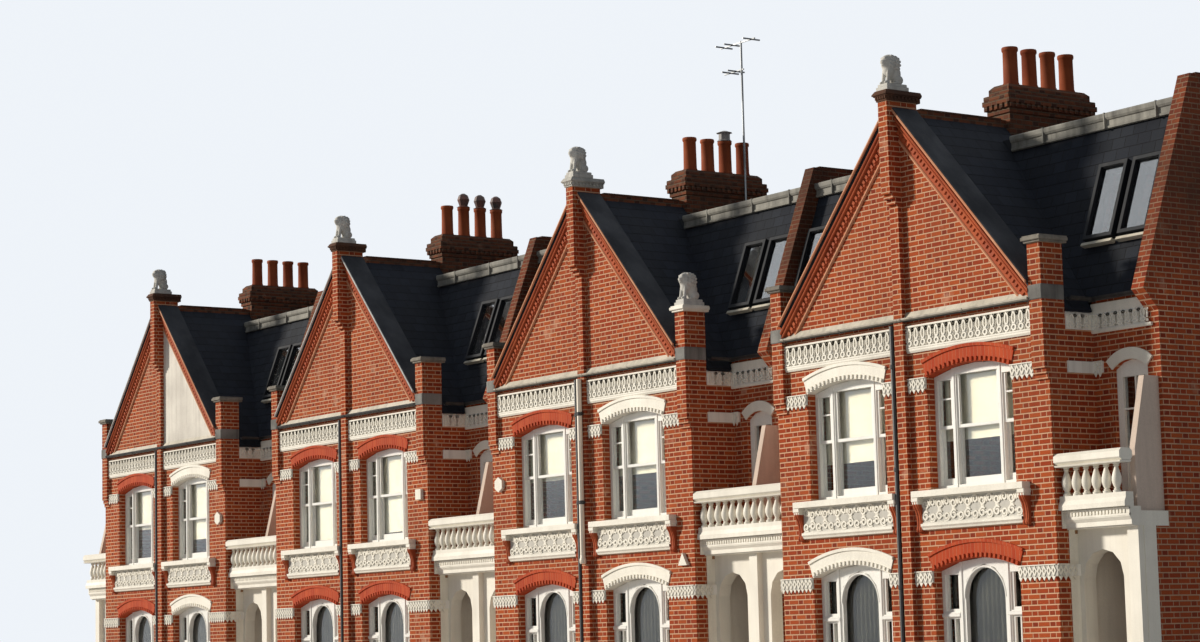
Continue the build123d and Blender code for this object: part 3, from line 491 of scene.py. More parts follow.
def plainFinish(name, colour, second, roughness=0.8, dirt=0.3, grime=(0.16, 0.14, 0.12), grain=0.002,
                **sockets):
    # paint, stone, clay or metal: two tones in patches, with rain streaks and grain
    material, tree, shader = startMaterial(name, roughness, **sockets)
    weather = useGroup(tree, weathering, {"Size": 0.8})
    tint = mixed(tree, weather["Patches"], colour, second)
    tint = mixed(tree, times(tree, weather["Streaks"], dirt), tint, grime)
    tree.links.new(speckled(tree, weather, tint, 0.3, 0.7, 0.9, 1.08), shader.inputs["Base Color"])
    rough = spread(tree, weather["Patches"], 0.0, 1.0, roughness - 0.08, min(roughness + 0.1, 1.0))
    tree.links.new(rough, shader.inputs["Roughness"])
    raised(tree, shader, weather["Grain"], grain)
    return material


def slateFinish(name, dark, light, course, width):
    dirt, gap = (0.022, 0.024, 0.026), (0.008, 0.008, 0.01)
    material, tree, shader = startMaterial(name, 0.8, Specular_IOR_Level=0.16)
    courses = useGroup(tree, slateCourses, {"Course": course, "Width": width})
    weather = useGroup(tree, weathering, {"Size": 1.4})
    colour = mixed(tree, courses["Tone"], dark, light)
    colour = mixed(tree, times(tree, weather["Patches"], 0.35), colour, dirt)
    tree.links.new(mixed(tree, courses["Edge"], colour, gap), shader.inputs["Base Color"])
    height = calc(tree, "SUBTRACT", times(tree, courses["Step"], 1.2), courses["Edge"])
    raised(tree, shader, calc(tree, "ADD", height, times(tree, weather["Grain"], 0.5)), 0.008)
    return material


def woodFinish(name, colour, second):
    material, tree, shader = startMaterial(name, 0.45)
    grain = noise(tree, drawnOut(tree, (40.0, 40.0, 2.0)), 1.0, 6.0)
    tree.links.new(mixed(tree, grain, colour, second), shader.inputs["Base Color"])
    raised(tree, shader, grain, 0.001)
    return material


def glassFinish(name, colour, second):
    # the coat reflects most in the roof, and nothing near the ground
    fixed = {"IOR": 1.45, "Transmission_Weight": 1.0, "Coat_IOR": 2.1, "Coat_Roughness": 0.02}
    material, tree, shader = startMaterial(name, 0.04, **fixed)
    ripple = noise(tree, objectPlace(tree), 1.7, 1.0)
    tree.links.new(mixed(tree, ripple, colour, second), shader.inputs["Base Color"])
    tree.links.new(spread(tree, axes(tree, objectPlace(tree))[2], 3.2, 7.4), shader.inputs["Coat Weight"])
    shadow = put(tree, "ShaderNodeLightPath").outputs["Is Shadow Ray"]
    tree.links.new(spread(tree, shadow, 0.0, 1.0, 1.0, 0.12), shader.inputs["Alpha"])
    raised(tree, shader, ripple, 0.002, 0.2)
    return material


def rubbedFinish(name, colour, second, mortar, dirt=(0.20, 0.03, 0.015)):
    # soft red bricks stood on end, with fine pale joints
    brickWidth, jointShare = 0.075, 0.09
    material, tree, shader = startMaterial(name, 0.75)
    weather = useGroup(tree, weathering, {"Size": 0.6})
    along, up = wallPlace(tree)
    run = calc(tree, "DIVIDE", along, brickWidth)
    joint = calc(tree, "LESS_THAN", calc(tree, "FRACT", run), jointShare)
    tint = mixed(tree, cellTone(tree, calc(tree, "FLOOR", run), calc(tree, "FLOOR", up)), colour, second)
    tint = mixed(tree, times(tree, weather["Patches"], 0.3), tint, dirt)
    tree.links.new(mixed(tree, times(tree, joint, 0.7), tint, mortar), shader.inputs["Base Color"])
    raised(tree, shader, calc(tree, "SUBTRACT", times(tree, weather["Grain"], 0.3), joint), 0.003)
    return material


def layeredFinish(name, roughness, size, grain, base, layers):
    # layers gives each mask and its colour, from the base outwards
    material, tree, shader = startMaterial(name, roughness)
    weather = useGroup(tree, weathering, {"Size": size})
    for mask, colour in layers(tree, weather):
        base = mixed(tree, mask, base, colour)
    tree.links.new(base, shader.inputs["Base Color"])
    raised(tree, shader, weather["Grain"], grain)
    return material


def frameShadeLayers(tree, weather):
    # paint on its faces, and painted shade in near black on its sides
    return [(times(tree, weather["Streaks"], 0.12), (0.16, 0.15, 0.14)),
            (facesSideways(tree), (0.010, 0.011, 0.014))]


def pipeLayers(tree, weather):
    # black iron, but the waste pipe on the third pair is painted cream
    spot = axes(tree, objectPlace(tree))
    aside = calc(tree, "ABSOLUTE", calc(tree, "SUBTRACT", spot[0], gableCentres[2]))
    waste = times(tree, calc(tree, "LESS_THAN", aside, 0.06),
                  calc(tree, "LESS_THAN", spot[1], wallFace - 0.085))
    return [(waste, (0.86, 0.77, 0.64)), (times(tree, weather["Streaks"], 0.16), (0.10, 0.08, 0.06))]


def cowlLayers(tree, weather):
    # bare metal on the third pair, rust and soot on the others
    bare, sooty = (0.30, 0.28, 0.27), (0.030, 0.022, 0.020)
    third = calc(tree, "GREATER_THAN", axes(tree, objectPlace(tree))[0], 0.0)
    return [(weather["Patches"], sooty), (third, bare), (times(tree, weather["Streaks"], 0.4), sooty)]


def gutterShadeLayers(tree, weather):
    # grey-cream paint where it catches the light, and painted shade in black on the faces underneath
    below = spread(tree, faceNormal(tree, "Normal")[2], -0.72, -0.35, 1.0, 0.0)
    return [(times(tree, weather["Patches"], 0.5), (0.30, 0.27, 0.22)),
            (times(tree, weather["Streaks"], 0.5), (0.09, 0.08, 0.07)), (below, (0.012, 0.012, 0.012))]


def reliefShadowLayers(tree, weather):
    # behind the relief: painted shadow in grey on the front, plain white on the returns
    back = calc(tree, "GREATER_THAN", axes(tree, objectPlace(tree))[1], -4.10)
    return [(back, (0.82, 0.80, 0.75)), (times(tree, weather["Streaks"], 0.25), (0.2, 0.19, 0.17))]


redBricks = ((0.34, 0.047, 0.014), (0.47, 0.093, 0.024), (0.25, 0.034, 0.013))
finishes = {
    "brick": brickFinish("redBrick", *redBricks, (0.67, 0.40, 0.25)),
    "upstand_brick": brickFinish("upstandBrick", *redBricks, (0.55, 0.33, 0.21), darkenAbove=6.1),
    "stock_brick": brickFinish("stockBrick", (0.40, 0.24, 0.12), (0.50, 0.34, 0.19), (0.30, 0.17, 0.09),
                               (0.45, 0.38, 0.30)),
    "sooty_brick": brickFinish("sootyBrick", (0.17, 0.045, 0.022), (0.27, 0.085, 0.038), (0.07, 0.025, 0.018),
                               (0.17, 0.12, 0.08), soot=0.45),
    "rubbed_brick": rubbedFinish("rubbedBrick", (0.43, 0.050, 0.014), (0.52, 0.085, 0.026),
                                 (0.50, 0.20, 0.11)),
    "roof_frame": layeredFinish("roofWindowFramePaintedShade", 0.7, 0.5, 0.001, (0.030, 0.032, 0.036), frameShadeLayers),
    # the grey base here is painted shadow behind the relief
    "relief_ground_painted_shadow": layeredFinish("reliefGroundPaintedShadow", 0.75, 0.8, 0.002, (0.58, 0.56, 0.51), reliefShadowLayers),
    "grey_paint": layeredFinish("greyGutterPaintShadedBelow", 0.55, 0.4, 0.002, (0.56, 0.51, 0.42), gutterShadeLayers),
    "pipe_paint": layeredFinish("pipePaint", 0.45, 0.5, 0.001, (0.012, 0.012, 0.013), pipeLayers),
    "slate": slateFinish("roofSlate", (0.006, 0.008, 0.014), (0.016, 0.020, 0.030), 0.17, 0.25),
    "cowl_finish": layeredFinish("potCowls", 0.6, 0.3, 0.002, (0.16, 0.045, 0.024), cowlLayers),
    "floor_boards": woodFinish("floorBoards", (0.38, 0.20, 0.09), (0.24, 0.12, 0.05)),
    "window_glass": glassFinish("windowGlass", (0.80, 0.84, 0.84), (0.92, 0.93, 0.90)),
}

# name, two tones, roughness, share of grime, its colour, grain and fixed sockets
paints = {
    "white_masonry": ("whiteMasonryPaint", (0.86, 0.82, 0.72), (0.78, 0.74, 0.65), 0.6, 0.16,
                      (0.42, 0.38, 0.31)),
    # a pinkish white; its pink tint is partly painted light, the warm glow that the brick throws onto white
    # paint in shade
    "pink_render": ("pinkRenderPaintedBounce", (0.70, 0.57, 0.48), (0.62, 0.50, 0.42), 0.85, 0.25, (0.4, 0.32, 0.26)),
    "weathered_stone": ("weatheredStone", (0.30, 0.28, 0.24), (0.20, 0.18, 0.155), 0.9, 0.5,
                        (0.06, 0.055, 0.05), 0.004),
    "cap_stone": ("capStone", (0.60, 0.58, 0.53), (0.42, 0.41, 0.38), 0.9, 0.45, (0.14, 0.13, 0.12), 0.004),
    "edge_paint": ("edgePaint", (0.66, 0.66, 0.64), (0.46, 0.46, 0.45), 0.8, 0.4, (0.2, 0.2, 0.2), 0.002),
    "block_stone": ("blockStone", (0.33, 0.32, 0.30), (0.16, 0.155, 0.145), 0.9, 0.6, (0.05, 0.05, 0.048),
                    0.005),
    "brown_stone": ("brownStone", (0.13, 0.06, 0.035), (0.08, 0.04, 0.028), 0.85, 0.4, (0.05, 0.04, 0.035),
                    0.004),
    "pale_stone": ("paleStone", (0.72, 0.70, 0.65), (0.52, 0.51, 0.48), 0.85, 0.45, (0.2, 0.19, 0.18), 0.004),
    "terracotta": ("redTerracotta", (0.36, 0.070, 0.026), (0.48, 0.115, 0.045), 0.7, 0.35,
                   (0.08, 0.03, 0.02)),
    "pale_terracotta": ("paleTerracotta", (0.66, 0.33, 0.19), (0.58, 0.24, 0.13), 0.7, 0.3, (0.3, 0.2, 0.14)),
    "pot_clay": ("potClay", (0.36, 0.088, 0.028), (0.24, 0.050, 0.020), 0.75, 0.5, (0.09, 0.03, 0.022)),
    "lead": ("leadSheet", (0.035, 0.038, 0.045), (0.022, 0.024, 0.029), 0.75, 0.25, (0.07, 0.07, 0.075),
             {"Specular_IOR_Level": 0.2}),
    "cream_timber": ("creamTimber", (0.62, 0.57, 0.46), (0.48, 0.44, 0.35), 0.6, 0.5, (0.20, 0.18, 0.15)),
    "curb_timber": ("curbTimber", (0.36, 0.345, 0.30), (0.20, 0.195, 0.18), 0.65, 0.65, (0.07, 0.068, 0.062),
                    0.003),
    "white_timber": ("whiteGlossPaint", (0.88, 0.87, 0.82), (0.82, 0.81, 0.76), 0.35, 0.1, (0.5, 0.48, 0.42),
                     0.0006, {"Coat_Weight": 0.3}),
    "door_paint": ("darkDoorPaint", (0.015, 0.035, 0.03), (0.02, 0.045, 0.04), 0.3, 0.1, (0.05, 0.05, 0.05),
                   0.0005, {"Coat_Weight": 0.5}),
    "black_iron": ("blackIron", (0.012, 0.012, 0.013), (0.03, 0.028, 0.027), 0.4, 0.3, (0.10, 0.09, 0.08),
                   0.001),
    "aerial_metal": ("aerialMetal", (0.16, 0.17, 0.18), (0.10, 0.105, 0.11), 0.4, 0.2, (0.05, 0.05, 0.05),
                     0.0005, {"Metallic": 0.8}),
    "cowl_metal": ("cowlMetal", (0.22, 0.20, 0.19), (0.12, 0.11, 0.10), 0.5, 0.4, (0.2, 0.08, 0.04), 0.001,
                   {"Metallic": 0.6}),
    "alarm_plastic": ("alarmPlastic", (0.84, 0.80, 0.70), (0.78, 0.74, 0.64), 0.4, 0.2, (0.5, 0.45, 0.38),
                      0.0005),
    "concrete": ("concrete", (0.45, 0.43, 0.40), (0.36, 0.34, 0.32), 0.9, 0.3),
    "white_render": ("whiteRender", (0.82, 0.78, 0.70), (0.66, 0.62, 0.56), 0.85, 0.35, (0.36, 0.32, 0.28),
                     0.003),
    # net curtains coloured near black to give the dark rooms behind the lower panes: painted shade
    "net_painted_shade": ("netClothPaintedShade", (0.040, 0.038, 0.029), (0.022, 0.022, 0.017), 0.9, 0.1, (0.02, 0.02, 0.016),
                  0.0005),
    # cream blinds that give the pale reflection in the upper panes: painted reflection
    "blind_cloth": ("blindCloth", (0.86, 0.79, 0.62), (0.80, 0.72, 0.55), 0.85, 0.05, (0.5, 0.45, 0.35),
                    0.0005)
}
for look, row in paints.items():
    fixed = row[-1] if isinstance(row[-1], dict) else {}
    finishes[look] = plainFinish(*(value for value in row if value is not fixed), **fixed)
nodeFinish = {"chimney_stacks": "sooty_brick", "chimney_party_walls": "sooty_brick",
              "party_walls": "upstand_brick", "chimney_pots": "pot_clay", "friezes": "relief_ground_painted_shadow",
              "string_bands": "relief_ground_painted_shadow", "apron_panels": "relief_ground_painted_shadow",
              "roof_window_frames": "roof_frame", "roof_curbs": "curb_timber", "downpipes": "pipe_paint",
              "pier_blocks": "block_stone", "pot_cowls": "cowl_finish"}
for part in frame["record"]["subparts"]:
    key = nodeFinish.get(part["node"], part["material_slot"])
    nodes[part["node"]].data.materials.clear()
    nodes[part["node"]].data.materials.append(finishes[key])
print("finishes made,", len(finishes))


# camera, light and floor

camera = {"place": (42.20, -30.39, 1.6), "heading": 55.15, "tilt": 6.93, "roll": -1.42, "lens": 81.9,
          "width": 36.0}


def makeCamera():
    heading, tilt, roll = (math.radians(camera[key]) for key in ("heading", "tilt", "roll"))
    data = bpy.data.cameras.new("streetCamera")
    data.lens, data.sensor_width = camera["lens"], camera["width"]
    data.clip_start, data.clip_end = 0.5, 400
    eye = bpy.data.objects.new("streetCamera", data)
    bpy.context.scene.collection.objects.link(eye)
    turn = Matrix.Rotation(heading, 4, "Z") @ Matrix.Rotation(math.pi / 2 + tilt, 4, "X")
    eye.matrix_world = Matrix.Translation(camera["place"]) @ turn @ Matrix.Rotation(roll, 4, "Z")
    bpy.context.scene.camera = eye


light = {"sunFrom": (-0.72, -0.60, 0.34), "sunStrength": 4.05, "sunAngle": 6.0,
         "sunColour": (1.0, 0.93, 0.82), "skyColour": (0.80, 0.89, 1.0), "skyStrength": 0.22,
         "backdrop": (0.86, 0.90, 0.95)}


def makeLight():
    sun = bpy.data.lights.new("softSun", "SUN")
    sun.energy, sun.angle = light["sunStrength"], math.radians(light["sunAngle"])
    sun.color = light["sunColour"]
    lamp = bpy.data.objects.new("softSun", sun)
    bpy.context.scene.collection.objects.link(lamp)
    lamp.rotation_mode = "QUATERNION"
    lamp.rotation_quaternion = Vector(light["sunFrom"]).to_track_quat("Z", "Y")
    world = bpy.data.worlds.new("paleSky")
    bpy.context.scene.world = world
    world.use_nodes = True
    tree = world.node_tree
    background = tree.nodes["Background"]
    path = put(tree, "ShaderNodeLightPath").outputs
    seen = calc(tree, "MAXIMUM", path["Is Camera Ray"],
                calc(tree, "MAXIMUM", path["Is Glossy Ray"], path["Is Transmission Ray"]))
    tree.links.new(mixed(tree, seen, light["skyColour"], light["backdrop"]), background.inputs[0])
    tree.links.new(spread(tree, seen, 0, 1, light["skyStrength"], 1.0), background.inputs[1])


def makeFloor():
    clearSelection()
    bpy.ops.mesh.primitive_plane_add(size=600, location=(0, 0, -0.002))
    floor = settle(bpy.context.object)
    floor.name = "paleFloor"
    floor.data.materials.append(plainFinish("paleFloor", (0.62, 0.61, 0.60), (0.60, 0.59, 0.58), 0.9, 0.0))


makeCamera()
makeLight()
makeFloor()
bpy.context.scene.view_settings.view_transform = "Standard"
print("camera, light and floor set")


# segmental arch rings with a row of small blocks along their lower edge

ring = {"middle": 1.355, "half": 0.885, "depth": 0.26, "face": wallFace - 0.015, "flats": 16,
        "heads": [(2.64, 2.80), (5.42, 5.56)], "lip": 0.045, "lipProud": 0.02, "sunk": 0.002,
        "blockPitch": 0.09, "blockSize": (0.045, 0.022, 0.055), "blockLift": 0.012,
        "whiteHouses": [(0, 1), (2, 1), (3, -1)]}
doorHead = {"inset": 0.11, "rise": 0.12, "depth": 0.16, "flats": 10}


def arcOf(half, spring, crown):
    # radius and half angle of a segmental arch
    rise = crown - spring
    radius = (half * half + rise * rise) / (2 * rise)
    return radius, math.asin(half / radius)


def archBand(arch, flats, grows, start, end):
    # the band between two distances outside the curve of an arch
    middle, half, spring, crown = arch
    radius, reach = arcOf(half, spring, crown)
    inner, outer = ([(middle + (radius + grow) * math.sin(a), crown - radius + (radius + grow) * math.cos(a))
                     for a in (-reach + 2 * reach * i / flats for i in range(flats + 1))] for grow in grows)
    return addBar(inner + outer[::-1], start, end, "y")


def makeArchRings():
    rings, blocks = [], []
    middle, half, depth, face, flats = (ring[key] for key in ("middle", "half", "depth", "face", "flats"))
    width, proud, tall = ring["blockSize"]
    lift, behind = ring["blockLift"], face + ring["sunk"]
    for spring, crown in ring["heads"]:
        arch = (middle, half, spring, crown)
        rings.append(archBand(arch, flats, (0.0, depth), face, wallBack))
        rings.append(archBand(arch, flats, (depth - ring["lip"], depth), face - ring["lipProud"], behind))
        radius, reach = arcOf(half, spring, crown)
        count = int(2 * reach * radius / ring["blockPitch"])
        block = addBlock((-width / 2, face - proud, lift), (width / 2, behind, tall + lift))
        for i in range(count):
            a = -reach + 2 * reach * (i + 0.5) / count
            place = Matrix.Translation((middle, 0, crown - radius)) @ Matrix.Rotation(a, 4, "Y")
            blocks.append(copyOf(block, place @ Matrix.Translation((0, 0, radius))))
        drop(block)
    return joined(rings + blocks)


def makeDoorHeads():
    # the white arched heads over the balcony doors
    low, high = [b for b in houseBoxes("window_arches") if b[0].y > wallBack][0]
    arch = ((low.x + high.x) / 2, (high.x - low.x) / 2 - doorHead["inset"], low.z, low.z + doorHead["rise"])
    return archBand(arch, doorHead["flats"], (0.0, doorHead["depth"]), low.y, high.y)


archRing = makeArchRings()
whiteRing = copyOf(archRing, Matrix.Identity(4))
finish(eachHouse(archRing, others(ring["whiteHouses"])), "redArchRings", "rubbed_brick", "rubbed_brick",
       "window_arches")
finish(eachHouse(whiteRing, ring["whiteHouses"]), "whiteArchRings", "white_masonry", "white_masonry",
       "window_arches")
finish(eachHouse(makeDoorHeads()), "balconyDoorHeads", "white_masonry", "white_masonry", "window_arches")
print("arch rings made")


# lattice and pointed teeth on the string bands

lattice = {"unit": 0.093, "tall": 0.155, "proud": 0.012, "bar": 0.022, "upright": 1.9, "level": 1.15,
           "toothShare": 0.8, "toothDrop": 0.055, "fillet": (0.152, 0.166), "filletProud": 0.016,
           "face": wallFace - 0.03, "levels": (2.48, 5.26), "lowRuns": [(0.095, 0.47), (2.24, 2.975)],
           "highRuns": [(0.095, 0.47), (2.24, 2.725)], "sideX": 3.005, "sideRun": [(0, 0.36)],
           "recessFace": -3.36, "recessRun": [(2.985, 3.15)]}


def latticeUnit():
    # one diamond with a raised edge and a tooth under it, along x at the wall's face
    half, mid, thick = lattice["unit"] / 2, lattice["tall"] / 2, lattice["bar"]
    outlines = []
    for sx in (-1, 1):
        for sz in (-1, 1):
            tip, inner = mid + sz * mid, sx * half - sx * thick * lattice["level"]
            outlines.append([(sx * half, mid), (0.0, tip), (0.0, tip - sz * thick * lattice["upright"]),
                             (inner, mid)])
    tooth = half * lattice["toothShare"]
    outlines.append([(-tooth, 0.0), (tooth, 0.0), (0.0, -lattice["toothDrop"])])
    return joined([addBar(outline, -lattice["proud"], 0.0, "y") for outline in outlines])


def makeBand(runs, level, face):
    unit = latticeUnit()
    foot, head = (level + edge for edge in lattice["fillet"])
    pieces = []
    for start, end in runs:
        pieces.append(unitsAlong(unit, lattice["unit"], start, end, face, level))
        pieces.append(addBlock((start, face - lattice["filletProud"], foot), (end, face, head)))
    drop(unit)
    return joined(pieces)


lowLevel, highLevel = lattice["levels"]
bands = [makeBand(lattice["lowRuns"], lowLevel, lattice["face"]),
         makeBand(lattice["highRuns"], highLevel, lattice["face"]),
         moved(makeBand(lattice["sideRun"], lowLevel, 0), (lattice["sideX"], lattice["face"], 0), 1),
         makeBand(lattice["recessRun"], highLevel, lattice["recessFace"])]
finish(eachHouse(joined(bands)), "latticeBands", "white_masonry", "white_masonry")
print("lattice bands made")


# frieze of pointed loops and curls

frieze = {"unit": 0.145, "face": wallFace - 0.025, "low": 5.86, "high": 6.20, "proud": 0.014, "bar": 0.020,
          "start": 0.10, "end": 2.72, "rims": ((-0.018, -0.030, -0.005), (-0.016, 0.0, 0.022)),
          "moulding": [(-0.01, 5.80), (0.02, 5.80), (0.035, 5.83), (0.035, 5.86), (-0.01, 5.86)]}


def loopOutline(cx, cz, halfWidth, halfHeight, sharp, turns=10):
    # closed pointed loop, sharper at the top
    points = []
    for i in range(turns):
        a = 2 * math.pi * i / turns
        lift = halfHeight * math.cos(a) * (1 + sharp * max(0, math.cos(a)) ** 3)
        points.append((cx + halfWidth * math.sin(a), cz + lift))
    return points


def addLoop(cx, cz, halfWidth, halfHeight, width, proud, sharp=0.0, turns=10):
    # a raised loop: a flat outline whose middle is inset and removed
    addOutline(loopOutline(cx, cz, halfWidth, halfHeight, sharp, turns), 1, 0)
    bpy.ops.mesh.inset(thickness=width, depth=0)
    bpy.ops.mesh.delete(type="FACE")
    bpy.ops.mesh.select_all(action="SELECT")
    pull(0, -proud, 0)
    return done()


def friezeUnit():
    width, proud = frieze["bar"], frieze["proud"]
    parts = [addLoop(0, 0.205, 0.046, 0.084, width * 1.15, proud, 0.22),
             addLoop(0, 0.078, 0.054, 0.050, width * 1.15, proud),
             addBall((0, 0, 0.130), (0.030, proud, 0.022), 8, 4),
             addBall((0, 0, 0.205), (0.010, proud, 0.045), 6, 4)]
    for side in (-1, 1):
        parts.append(addLoop(side * 0.0725, 0.272, 0.034, 0.034, width * 0.9, proud, 0, 8))
        parts.append(addBall((side * 0.0725, 0, 0.178), (0.022, proud, 0.062), 8, 4))
        parts.append(addBall((side * 0.0725, 0, 0.112), (0.019, proud, 0.022), 6, 4))
        parts.append(addBall((side * 0.0725, 0, 0.045), (0.026, proud, 0.034), 6, 4))
    return joined(parts)


def makeFrieze(start, end, low, high):
    unit = friezeUnit()
    pieces = [unitsAlong(unit, frieze["unit"], start, end, 0, low)]
    drop(unit)
    for level, (front, foot, top) in zip((high, low), frieze["rims"]):
        pieces.append(addBlock((start, front, level + foot), (end, 0, level + top)))
    return joined(pieces)


frontFrieze = moved(makeFrieze(*(frieze[key] for key in ("start", "end", "low", "high"))),
                    (0, frieze["face"], 0))
lowerMoulding = addBar(offWall(frieze["moulding"]), frieze["start"], frieze["end"])
finish(eachHouse(joined([frontFrieze, lowerMoulding])), "friezeRelief", "white_masonry", "white_masonry")
print("friezes made")


# scroll relief, cap blocks and mouldings of the window aprons

apron = {"start": 0.315, "end": 2.395, "low": 3.32, "high": 3.70, "face": wallFace - 0.03, "units": 7,
         "proud": 0.016, "bar": 0.025, "scroll": (0.068, 0.020),
         "fillets": ((3.315, 3.338), (3.682, 3.70)), "caps": (0.26, 2.45)}


def addScroll(cx, cz, big, small, turn, mirror, width, proud):
    # a raised spiral of one and a quarter turns
    steps = 16
    inner, outer = [], []
    for i in range(steps + 1):
        t = i / steps
        a = turn + mirror * t * 2 * math.pi * 1.3
        r = big + (small - big) * t
        inner.append((cx + (r - width / 2) * math.cos(a), cz + (r - width / 2) * math.sin(a)))
        outer.append((cx + (r + width / 2) * math.cos(a), cz + (r + width / 2) * math.sin(a)))
    clearSelection()
    bpy.ops.mesh.primitive_grid_add(x_subdivisions=steps, y_subdivisions=1, size=1)
    scroll = bpy.context.object
    for i, vertex in enumerate(scroll.data.vertices):
        point = (inner if i <= steps else outer)[i % (steps + 1)]
        vertex.co = (point[0], 0, point[1])
    edit(scroll)
    pull(0, -proud, 0)
    return done()


def makeApron():
    wide = (apron["end"] - apron["start"]) / apron["units"]
    tall = (apron["high"] - apron["low"]) / 2
    unit = []
    bar, proud = apron["bar"], apron["proud"]
    for row, mirror in ((0, 1), (1, -1)):
        z = tall * (row + 0.5)
        for side, turn in ((-1, 0.25), (1, 1.25)):
            unit.append(addScroll(side * wide * 0.25, z - side * mirror * 0.012, *apron["scroll"],
                                  math.pi * turn, mirror, bar, proud))
        unit.append(addBall((0, 0, z), (0.040, proud, 0.024), 8, 4))
        unit.append(addBall((-wide * 0.5, 0, z), (0.024, proud, 0.056), 8, 4))
        for side in (-1, 1):
            leaf = (side * wide * 0.25, 0, z + mirror * side * -0.085)
            unit.append(addBall(leaf, (0.050, proud, 0.014), 8, 4))
    unit = joined(unit)
    moves = [(apron["start"] + wide * (i + 0.5), apron["face"], apron["low"]) for i in range(apron["units"])]
    parts = [repeated(unit, moves)]
    for low, high in apron["fillets"]:
        parts.append(addBlock((apron["start"], apron["face"] - 0.014, low),
                              (apron["end"], apron["face"], high)))
    under = [(0.03, 3.23), (0.05, 3.235), (0.058, 3.26), (0.080, 3.285), (0.080, 3.32), (0.03, 3.32)]
    parts.append(addBar(offWall(under), apron["start"], apron["end"]))
    for x in apron["caps"]:
        parts.append(addPost(x, 0.075, (wallFace - 0.14, wallFace), (3.635, 3.70), 0.008))
        parts.append(addPost(x, 0.063, (wallFace - 0.130, wallFace), (3.600, 3.637), 0.006))
    return joined(parts)


def makeConsoles():
    # scrolled brackets, each with a raised edge down both sides
    shape = [(-0.010, 3.200), (0.038, 3.200), (0.058, 3.212), (0.066, 3.236), (0.060, 3.262), (0.050, 3.290),
             (0.050, 3.360), (0.060, 3.440), (0.080, 3.505), (0.108, 3.550), (0.122, 3.580), (0.125, 3.615),
             (0.125, 3.640), (-0.010, 3.640)]
    edge, edgeProud = 0.014, 0.008
    parts = []
    for low, high in houseBoxes("apron_brackets"):
        parts.append(addBar(offWall(shape), low.x, high.x))
        for x in (low.x + 0.022, high.x - 0.036):
            parts.append(addBar([(y - edgeProud, up) for y, up in offWall(shape)], x, x + edge))
    return joined(parts)


finish(eachHouse(makeConsoles()), "apronConsoles", "terracotta", "terracotta", "apron_brackets")
finish(eachHouse(makeApron()), "apronRelief", "white_masonry", "white_masonry")
print("aprons made")


# rake mouldings and coping of the gables, each bar run down the slope from the ridge

rake = {"slope": math.radians(47.5), "ridge": 9.4466, "length": 4.75, "start": 0.10, "end": 2.725,
        "foot": 6.315, "toothPitch": 0.093, "toothSize": (0.050, 0.060, 0.075), "toothFoot": -0.200,
        "firstTooth": 0.37, "teeth": 40, "paleHouses": [(0, -1), (1, -1), (1, 1)]}
rakeTurn = Matrix.Translation((0, 0, rake["ridge"])) @ Matrix.Rotation(rake["slope"], 4, "Y")


def rakeBar(outline):
    # outline of (out from the wall's face, up from the slope)
    bar = addBar(offWall(outline), -0.4, rake["length"])
    bar.data.transform(rakeTurn)
    bar = cutAway(bar, (rake["start"], 0, 0), (-1, 0, 0))
    bar = cutAway(bar, (rake["end"], 0, 0), (1, 0, 0))
    return cutAway(bar, (0, 0, rake["foot"]), (0, 0, -1))


def roundedStep(up, radius, out, steps=4):
    # a quarter-round nosing that ends at out from the wall
    return [(out - radius + radius * math.cos(a), up + radius * math.sin(a))
            for a in (math.pi / 2 * (1 - 2 * i / steps) for i in range(steps + 1))]


def makeRake():
    moulding = [(-0.02, -0.012), (0.085, -0.012), *roundedStep(-0.047, 0.022, 0.112), (0.075, -0.072),
                *roundedStep(-0.100, 0.020, 0.092), (0.040, -0.124), (0.040, -0.205), (0.022, -0.215),
                (0.018, -0.255), (-0.02, -0.255)]
    body = rakeBar(moulding)
    wide, proud, tall = rake["toothSize"]
    foot = rake["toothFoot"]
    tooth = addBlock((-wide / 2, wallFace - proud, foot), (wide / 2, wallFace - 0.03, foot + tall))
    teeth = repeated(tooth, [(rake["firstTooth"] + i * rake["toothPitch"], 0, 0)
                             for i in range(rake["teeth"])])
    teeth.data.transform(rakeTurn)
    return joined([body, teeth])


def makeRakeEdge():
    return rakeBar([(0.118, 0.050), (0.118, 0.018), (0.146, 0.018), (0.152, 0.030), (0.146, 0.050)])


def makeRakeBead():
    return rakeBar([(-0.02, -0.300), (0.020, -0.300), (0.036, -0.288), (0.036, -0.270), (0.024, -0.256),
                    (-0.02, -0.256)])


def makeRakeTops():
    return rakeBar([(-0.34, -0.002), (-0.34, 0.062), (0.02, 0.068), (0.135, 0.062), (0.135, 0.050),
                    (0.118, 0.050), (0.118, 0.018), (0.085, 0.014), (0.080, -0.016), (0.0, -0.016)])


finish(eachHouse(makeRake()), "rakeMouldings", "terracotta", "terracotta", "rake_mouldings")
finish(eachHouse(makeRakeEdge(), rake["paleHouses"]), "paleRakeEdges", "edge_paint", "terracotta",
       "rake_mouldings")
redEdges = joined([eachHouse(makeRakeEdge(), others(rake["paleHouses"])), eachHouse(makeRakeBead())])
finish(redEdges, "rakeEdges", "pale_terracotta", "terracotta", "rake_mouldings")
finish(eachHouse(makeRakeTops()), "rakeTops", "lead", "terracotta", "rake_mouldings")
print("rakes made")


# sashes, bars and arched lights in the front windows

sash = {"lights": [(0.53, 0.83), (0.92, 1.79), (1.88, 2.18)], "upper": (3.85, 4.68, 5.50),
        "lower": (0.96, 2.00, 2.74), "stile": 0.042, "rail": 0.046, "bottomRail": 0.10, "bar": 0.022,
        "front": -4.030, "middle": -3.992, "back": -3.952, "face": -4.045, "mullions": (0.875, 1.835),
        "archFoot": 2.24, "archTop": 2.70, "deepSill": 1.42}


